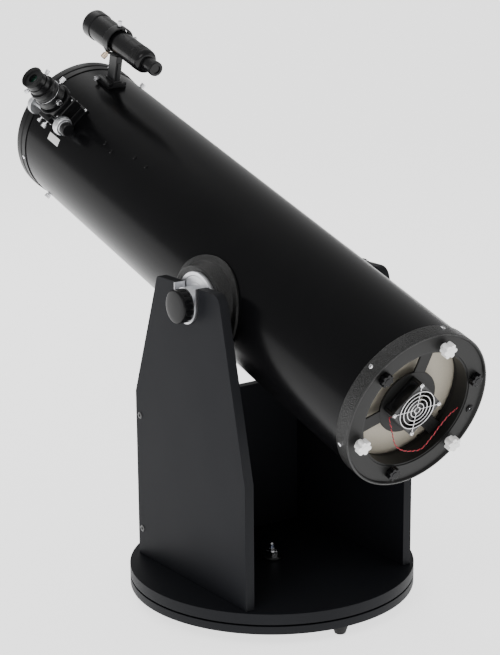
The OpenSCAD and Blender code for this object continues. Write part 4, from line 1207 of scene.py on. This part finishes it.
class TELESCOPE_OT_fan(bpy.types.Operator):
    """Cooling fan, wire grille and power socket"""

    bl_idname = "telescope.fan"
    bl_label = "Cooling fan"

    def execute(self, context):
        self.housing()
        self.rotor()
        self.grille()
        self.socket()
        return {"FINISHED"}

    def housing(self):
        shells = Shells()
        square = rounded_square(80, 3.5)
        for z in (0, FAN_DEPTH - 4):
            shells.add(holed_plate(square, 38, 4), shift(0, 0, z), 0.4)
        shells.add(turned([(38, 1), (39.6, 1), (39.6, FAN_DEPTH - 1), (38, FAN_DEPTH - 1)], 96, closed=True))
        half = FAN_PITCH / 2
        for x in (-half, half):
            for y in (-half, half):
                shells.add(rod(4.1, 2, FAN_DEPTH - 2, 32), shift(x, y, 0), 0.3)
        shells.add(rod(16, FAN_DEPTH - 3.3, FAN_DEPTH, 64), soft=0.5)
        for k in range(4):
            shells.add(block((15, -2, FAN_DEPTH - 3), (39, 2, FAN_DEPTH - 0.2)), turn(90 * k + 20, "Z"), 0.5)
        shells.add(rod(2, 6, FAN_DEPTH - 2, 24))
        settle("fan_housing", shells, FAN, "black plastic", "optical_tube", ["fan_frame"])

    def rotor(self):
        blades = sizes().fan_blades
        shells = Shells().add(turned([(0, 2.5), (13.4, 2.5), (15, 4), (15, 18.2), (0, 18.2)], 64), soft=0.4)
        for k in range(blades):
            bm = block((0, -9, -0.7), (21, 9, 0.7), 4)
            for v in bm.verts:
                pitch = math.radians(46 - 14 * v.co.x / 21)
                lean = 3.0 * (v.co.x / 21) ** 2
                y, z = v.co.y + lean, v.co.z + 0.02 * v.co.y ** 2
                v.co.y = y * math.cos(pitch) - z * math.sin(pitch)
                v.co.z = y * math.sin(pitch) + z * math.cos(pitch)
            shells.add(bm, turn(360 * k / blades, "Z") @ shift(14.4, 0, 10.2))
        settle("fan_impeller", shells, FAN, "black plastic", "rotor", ["fan_rotor"])

    def grille(self):
        wire = 0.8
        shells = Shells()
        rings = sizes().grille_rings
        for k in range(rings):
            shells.add(hoop(6 + 32 / (rings - 1) * k, wire, -2.6 * wire, 96))
        corner = FAN_PITCH / 2 * math.sqrt(2)
        half = FAN_PITCH / 2
        for k in range(4):
            arm = turn(45 + 90 * k, "Z") @ shift(0, 0, -wire) @ ALONG_X
            shells.add(rod(wire, 4.5, corner - 3, 12), arm, 0.2)
        for x in (-half, half):
            for y in (-half, half):
                place = shift(x, y, -2 * wire - 0.1)
                shells.add(hoop(3.4, wire, wire, 40), place)
                shells.add(rod(1.9, 0, FAN_DEPTH + 6, 24), place)
                pan_screw(shells, place @ turn(180, "X") @ shift(0, 0, 0.2), 3.6, 2.0)
        settle("fan_guard", shells, FAN, ("nickel plate", "screw black"), "optical_tube", ["fan_grille"],
               45)

    def socket(self):
        place = station(REAR_WEB) @ spot(-10.6, 134)
        shells = Shells()
        shells.add(turned([(2.8, -3), (5.4, -3), (6, -2.4), (6, 18), (2.8, 18)], 48, closed=True))
        shells.add(turned([(5.5, -2), (8, -2), (8, -0.1), (5.5, -0.1)], 6, closed=True), soft=0.3)
        shells.add(rod(1, -1.5, 12, 24), paint=1)
        shells.add(rod(5, 10, 19, 32), soft=0.4)
        settle("power_jack", shells, place, ("gloss plastic", "nickel plate"), "optical_tube",
               ["power_socket"])


# ---- focuser ----


def over_tube(h):
    return shift(0, 0, TUBE_R + h)


def thumb_screw(shells, place, head_r, head_l, shank_l, ribs=18):
    shells.add(rod(2, 0, shank_l + 1, 24), place)
    shells.add(turned([(2, shank_l - 0.2), (head_r - 1.6, shank_l - 0.2), (head_r - 1.6, shank_l + 1.4),
                       (2, shank_l + 1.4)], 32, closed=True), place)
    shells.add(prism(lobed(head_r, 0.4, ribs, 6, 0.6), head_l - 1.2), place @ shift(0, 0, shank_l + 1.2), 0.4)


class TELESCOPE_OT_focuser(bpy.types.Operator):
    """Focuser with its knobs, screws, adapter and eyepiece"""

    bl_idname = "telescope.focuser"
    bl_label = "Focuser"

    def execute(self, context):
        self.base()
        self.body()
        self.drawtube()
        self.knobs()
        self.adapter()
        self.ocular()
        self.screws()
        return {"FINISHED"}

    def base(self):
        shells = Shells()
        shells.add(saddle(-30, 30, -53, 39.5, TUBE_R + 0.1, TUBE_R + 4.2), soft=0.8)
        shells.add(block((-25, -46, TUBE_R - 1), (25, 38, TUBE_R + 13.5)), soft=1.2)
        for x in (-26, 26):
            for y in (-48.5, 35):
                angle = math.degrees(math.asin(x / TUBE_R))
                place = turn(angle, "Y") @ shift(0, y, TUBE_R + 4.2)
                pan_screw(shells, place, 3.0, 1.8, paint=1, slot_paint=2)
        settle("focuser_foot", shells, FOCUSER, ("anodised black", "nickel plate", "screw black"),
               "optical_tube", ["focuser_base"])

    def body(self):
        shells = Shells()
        low, high = TUBE_R + 13.6, TUBE_R + 37
        shells.add(block((-28, -42, low), (28, 38, high)), soft=2.0, steps=3)
        shells.add(turned([(27.6, 36.9), (36, 36.9), (36, 44.8), (35, 46), (27.6, 46)], 96, closed=True),
                   over_tube(0), 0.4)
        shells.add(block((-44, -20, TUBE_R + 16), (-24, 20, TUBE_R + 35)), soft=1.6, steps=3)
        for x, y in ((-22, -36), (22, -36), (22, 32), (-22, 32)):
            pan_screw(shells, shift(x, y, high), 2.4, 1.6, paint=1, slot_paint=2)
        for y in (-30, 0, 26):
            pan_screw(shells, shift(28, y, low + 6) @ ALONG_X, 2.2, 1.2, paint=1, slot_paint=2)
        for y in (-16, 16):
            pan_screw(shells, shift(-44, y, TUBE_R + 20) @ BACK_X, 2.0, 1.2, paint=1, slot_paint=2)
        settle("focuser_block", shells, FOCUSER, ("anodised black", "nickel plate", "screw black"),
               "optical_tube", ["focuser_body"])

    def drawtube(self):
        shells = Shells()
        outline = [(25.45, -3), (27.5, -3), (27.5, 52.5), (31.5, 52.5), (31.5, 57), (30.9, 57.6),
                   (30.9, 65.4), (31.5, 66), (31.5, 70), (25.45, 70)]
        shells.add(turned(outline, 96, closed=True), over_tube(0), 0.35)
        shells.add(turned([(25.45, 70), (30, 70), (30, 71.5), (25.45, 71.5)], 96, closed=True),
                   over_tube(0), 0.3, paint=1)
        settle("draw_barrel", shells, FOCUSER, ("anodised black", "nickel plate"), "focus_tube",
               ["drawtube"])

    def knobs(self):
        place = FOCUSER @ shift(-30.6, 0, TUBE_R + 25.5)
        shells = Shells().add(rod(3, -63, 63, 32), ALONG_Y)
        for flip in (0, 180):
            side = turn(flip, "X") @ ALONG_Y
            shells.add(prism(lobed(20.5, 0.5, 48, 6, 0.7), 9), side @ shift(0, 0, 50), 0.5)
            shells.add(turned([(3, 49), (19.6, 49), (20, 49.5), (20, 60), (19, 62.6), (18, 63.6),
                               (14, 64), (13, 65), (3, 65)], 72, closed=True), side, 0.3)
        settle("coarse_knob_pair", shells, place, "bare alloy", "coarse_knobs", ["focus_shaft"])
        side = turn(180, "X") @ ALONG_Y
        shells = Shells()
        shells.add(prism(lobed(14.5, 0.5, 36, 6, 0.7), 10), side @ shift(0, 0, 67.5), 0.4)
        shells.add(turned([(0, 65.3), (13.8, 65.3), (13.8, 78), (12.4, 79.8), (0, 79.8)], 64), side, 0.4)
        shells.add(rod(1.5, 54, 66, 24), side)
        settle("fine_focus_knob", shells, place, "anodised black", "fine_focus", ["fine_knob"])

    def adapter(self):
        shells = Shells()
        z = 71.8
        outline = [(15.95, z - 25), (25.3, z - 25), (25.3, z), (27.8, z), (27.8, z + 20), (24, z + 20),
                   (24, z + 33.5), (15.95, z + 33.5)]
        shells.add(turned(outline, 96, closed=True), over_tube(0), 0.5)
        bm = prism(lobed(28.5, 0.45, 60, 6, 0.7), 5)
        shells.add(bm, over_tube(z + 2.5), 0.4)
        shells.add(prism(lobed(28.5, 0.45, 60, 6, 0.7), 5), over_tube(z + 12.5), 0.4)
        settle("barrel_adapter", shells, FOCUSER, "anodised black", "adapter", ["eyepiece_adapter"])
        shells = Shells()
        for angle in (15, 150):
            place = over_tube(z + 27) @ turn(angle, "Z") @ shift(23, 0, 0) @ ALONG_X
            thumb_screw(shells, place, 4.6, 9, 3.5)
        settle("adapter_screws", shells, FOCUSER, "nickel plate", "adapter")

    def ocular(self):
        shells = Shells()
        z = 105.6
        shells.add(turned([(13.5, z - 28), (15.87, z - 28), (15.87, z), (13.5, z)], 72, closed=True),
                   over_tube(0), 0.3, paint=1)
        shells.add(turned([(10, z - 4), (22, z), (22.5, z + 0.6), (22.5, z + 12.4), (21.6, z + 13),
                           (18.5, z + 13), (18.5, z + 16), (10, z + 16)], 96, closed=True), over_tube(0))
        shells.add(turned([(0, z + 9.4), (6, z + 9.2), (10.2, z + 8.4), (10.2, z + 4), (0, z + 4)], 64),
                   over_tube(0), paint=2)
        settle("eyepiece_barrel", shells, FOCUSER, ("anodised black", "nickel plate", "green lens"), "ocular",
               ["eyepiece"])
        z += 13
        outline = [(18.6, z + 0.1), (22.4, z + 0.1), (23.4, z + 3.5), (24, z + 7.8), (23.4, z + 9),
                   (22.2, z + 9), (21.4, z + 8), (19.6, z + 4.5), (18.6, z + 3.4)]
        shells = Shells().add(turned(outline, 96, closed=True), over_tube(0))
        settle("rubber_eyecup", shells, FOCUSER, "rubber", "ocular", ["eyecup"], 60)

    def screws(self):
        shells = Shells()
        thumb_screw(shells, shift(25.65, 0, TUBE_R + 61.25) @ ALONG_X, 6, 12, 8.8)
        settle("draw_clamp", shells, FOCUSER, "nickel plate", "clamp_screw", ["drawtube_clamp_screw"])
        shells = Shells()
        thumb_screw(shells, shift(0, -27, TUBE_R + 61.25) @ turn(90, "X"), 6, 11, 8)
        settle("draw_clamp_side", shells, FOCUSER, "nickel plate", "focus_tube")
        shells = Shells()
        thumb_screw(shells, shift(-33.9, -9, TUBE_R + 25.5) @ BACK_X, 5.5, 10, 15.2)
        settle("focus_lock", shells, FOCUSER, "nickel plate", "lock_screw", ["focus_lock_screw"])
        shells = Shells()
        thumb_screw(shells, shift(-38, 14, TUBE_R + 25.5) @ BACK_X, 4.4, 7, 11)
        settle("tension_screw", shells, FOCUSER, "nickel plate", "optical_tube")


# ---- finder ----


class TELESCOPE_OT_finder(bpy.types.Operator):
    """Finder scope, its ring bracket, screws and shoe"""

    bl_idname = "telescope.finder"
    bl_label = "Finder"

    def execute(self, context):
        base = out_of_tube(FINDER_ANGLE, FINDER_S)
        axis = base @ over_tube(FINDER_HEIGHT)
        self.scope(axis)
        self.bracket(base)
        self.aimers(axis)
        self.shoe(base)
        return {"FINISHED"}

    def scope(self, axis):
        along = axis @ ALONG_Y
        shells = Shells()
        outline = [
            (26.5, 92), (29.3, 92), (30.1, 91.4), (30.5, 90.5), (30.5, 66), (30, 65.2), (28.9, 64.8),
            (28.8, 63.4), (28.8, 5), (28.2, 4), (25.3, 4), (25.3, -62), (24.9, -62.4), (24.9, -63.6),
            (25.3, -64),
            (25.3, -92), (24.8, -92.6), (24.8, -94.2), (25.3, -94.8), (25.3, -114), (24.9, -119),
            (23, -123.6), (20, -126), (17.5, -127), (14.5, -127.4), (14.5, -150),
            (15.3, -151), (15.3, -160), (14.4, -162), (9, -162), (9, -124), (22.6, -117), (23, 0), (26.5, 6)]
        shells.add(turned(outline, 128, closed=True))
        for z in (-108, -102, -98):
            shells.add(turned([(25.1, z), (25.8, z + 0.4), (25.8, z + 2.2), (25.1, z + 2.6)], 128))
        shells.add(prism(lobed(15.5, 0.4, 40, 6, 0.7), 7), shift(0, 0, -159.5), 0.3)
        settle("finder_barrel", shells, along, "finder enamel", "finder", ["finder_tube"], 38)
        shells = Shells()
        shells.add(turned([(0, 78), (26.2, 78), (26.2, 83.2), (20, 84.4), (10, 85), (0, 85.2)], 96))
        shells.add(turned([(0, -158), (5, -157.8), (8.9, -157), (8.9, -152), (0, -152)], 64))
        settle("finder_glass", shells, along, "clear lens", "finder", ["finder_lenses"], 50)

    def bracket(self, base):
        shells = Shells()
        y = -7.0
        ring = turned([(28.8, -10), (32.2, -10), (32.2, 10), (28.8, 10)], 128, closed=True)
        shells.add(ring, over_tube(FINDER_HEIGHT) @ shift(0, y, 0) @ ALONG_Y, 0.9)
        for angle in (0, 90, 225):
            place = over_tube(FINDER_HEIGHT) @ shift(0, y, 0) @ turn(angle, "Y")
            shells.add(turned([(4.3, 31), (6.2, 31), (6.2, 33.4), (4.3, 33.4)], 48, closed=True), place, 0.4)
        shells.add(block((-7.5, y - 15, TUBE_R + 8), (7.5, y + 15, TUBE_R + 69.5)), soft=1.2, steps=3)
        for end in (-1, 1):
            shells.add(block((-4.5, y + end * 15 - 1.4, TUBE_R + 14), (4.5, y + end * 15 + 1.4, TUBE_R + 55)),
                       soft=0.9)
        shells.add(block((-10, y - 18, TUBE_R + 10.5), (10, y + 18, TUBE_R + 15)), soft=1.0)
        foot = prism([(-15.5, -4.4), (15.5, -4.4), (12.5, -11.4), (-12.5, -11.4)], 42)
        shells.add(foot, shift(0, y - 21, TUBE_R) @ turn(-90, "X"), 0.4)
        settle("finder_stalk", shells, base, "anodised black", "finder", ["finder_bracket"])

    def aimers(self, axis):
        for name, body, angle in (("top", "aim_top", 0), ("side", "aim_side", 90)):
            place = axis @ shift(0, -7, 0) @ turn(angle, "Y")
            shells = Shells()
            thumb_screw(shells, shift(0, 0, 25.6), 4.6, 9, 9.6)
            shells.add(turned([(2, 33.4), (4.0, 33.4), (4.0, 35), (2, 35)], 32, closed=True), soft=0.2)
            settle("finder_%s_aimer" % name, shells, place, "nickel plate", body,
                   ["finder_%s_screw" % name])
        place = axis @ shift(0, -7, 0) @ turn(225, "Y")
        shells = Shells()
        shells.add(rod(4, 28.6, 40, 40), soft=0.3)
        shells.add(turned([(0, 36.4), (6, 36.4), (6, 46.5), (5, 48), (0, 48)], 48), soft=0.4)
        settle("finder_spring_sleeve", shells, place, "tan sleeve", "aim_plunger", ["finder_plunger"])

    def shoe(self, base):
        shells = Shells()
        shells.add(saddle(-22, 22, -25, 25, TUBE_R + 0.05, TUBE_R + 3.9), soft=0.5)
        for sign in (-1, 1):
            rail = [(sign * x, y) for x, y in ((16.2, -3.7), (22, -3.0), (22, -9.4), (20.6, -11),
                                               (12.9, -11))]
            place = shift(0, -25, TUBE_R) @ turn(-90, "X")
            shells.add(prism(rail if sign > 0 else rail[::-1], 50), place, 0.5)
        for y in (-18, 18):
            pan_screw(shells, shift(0, y, TUBE_R + 3.6), 2.6, 0.4, paint=1, slot_paint=1)
        settle("finder_rail", shells, base, ("anodised black", "screw black"), "optical_tube",
               ["finder_shoe"])
        shells = Shells()
        thumb_screw(shells, shift(-15.9, 16, TUBE_R + 7.4) @ BACK_X, 5, 8, 8.1)
        settle("finder_rail_clamp", shells, base, "nickel plate", "shoe_screw", ["shoe_clamp_screw"])


# ---- add-on ----

MAKERS = (
    TELESCOPE_OT_studio, TELESCOPE_OT_fan_wire, TELESCOPE_OT_boards, TELESCOPE_OT_pivot,
    TELESCOPE_OT_panels, TELESCOPE_OT_bearings, TELESCOPE_OT_tube, TELESCOPE_OT_secondary,
    TELESCOPE_OT_mirror_end, TELESCOPE_OT_fan, TELESCOPE_OT_focuser, TELESCOPE_OT_finder,
)


class TELESCOPE_PT_panel(bpy.types.Panel):
    """Lists the telescope's parts and their settings"""

    bl_idname = "TELESCOPE_PT_panel"
    bl_label = "Telescope"
    bl_space_type = "VIEW_3D"
    bl_region_type = "UI"
    bl_category = "Telescope"

    def draw(self, context):
        for maker in MAKERS:
            self.layout.operator(maker.bl_idname)
        for group in ("scope_sizes", "scope_colours", "scope_studio"):
            settings = getattr(context.scene, group)
            box = self.layout.box()
            for key in settings.bl_rna.properties.keys():
                if key not in ("name", "rna_type"):
                    box.prop(settings, key)


CLASSES = (TELESCOPE_PG_sizes, TELESCOPE_PG_colours, TELESCOPE_PG_studio, *MAKERS, TELESCOPE_PT_panel)


def register():
    for each in CLASSES:
        bpy.utils.register_class(each)
    bpy.types.Scene.scope_sizes = bpy.props.PointerProperty(type=TELESCOPE_PG_sizes)
    bpy.types.Scene.scope_colours = bpy.props.PointerProperty(type=TELESCOPE_PG_colours)
    bpy.types.Scene.scope_studio = bpy.props.PointerProperty(type=TELESCOPE_PG_studio)


def unregister():
    del bpy.types.Scene.scope_studio
    del bpy.types.Scene.scope_colours
    del bpy.types.Scene.scope_sizes
    for each in reversed(CLASSES):
        bpy.utils.unregister_class(each)


def main():
    register()
    for maker in MAKERS:
        group, name = maker.bl_idname.split(".")
        if getattr(getattr(bpy.ops, group), name)() != {"FINISHED"}:
            raise RuntimeError(maker.bl_label + " was not built")


if __name__ == "__main__":
    main()
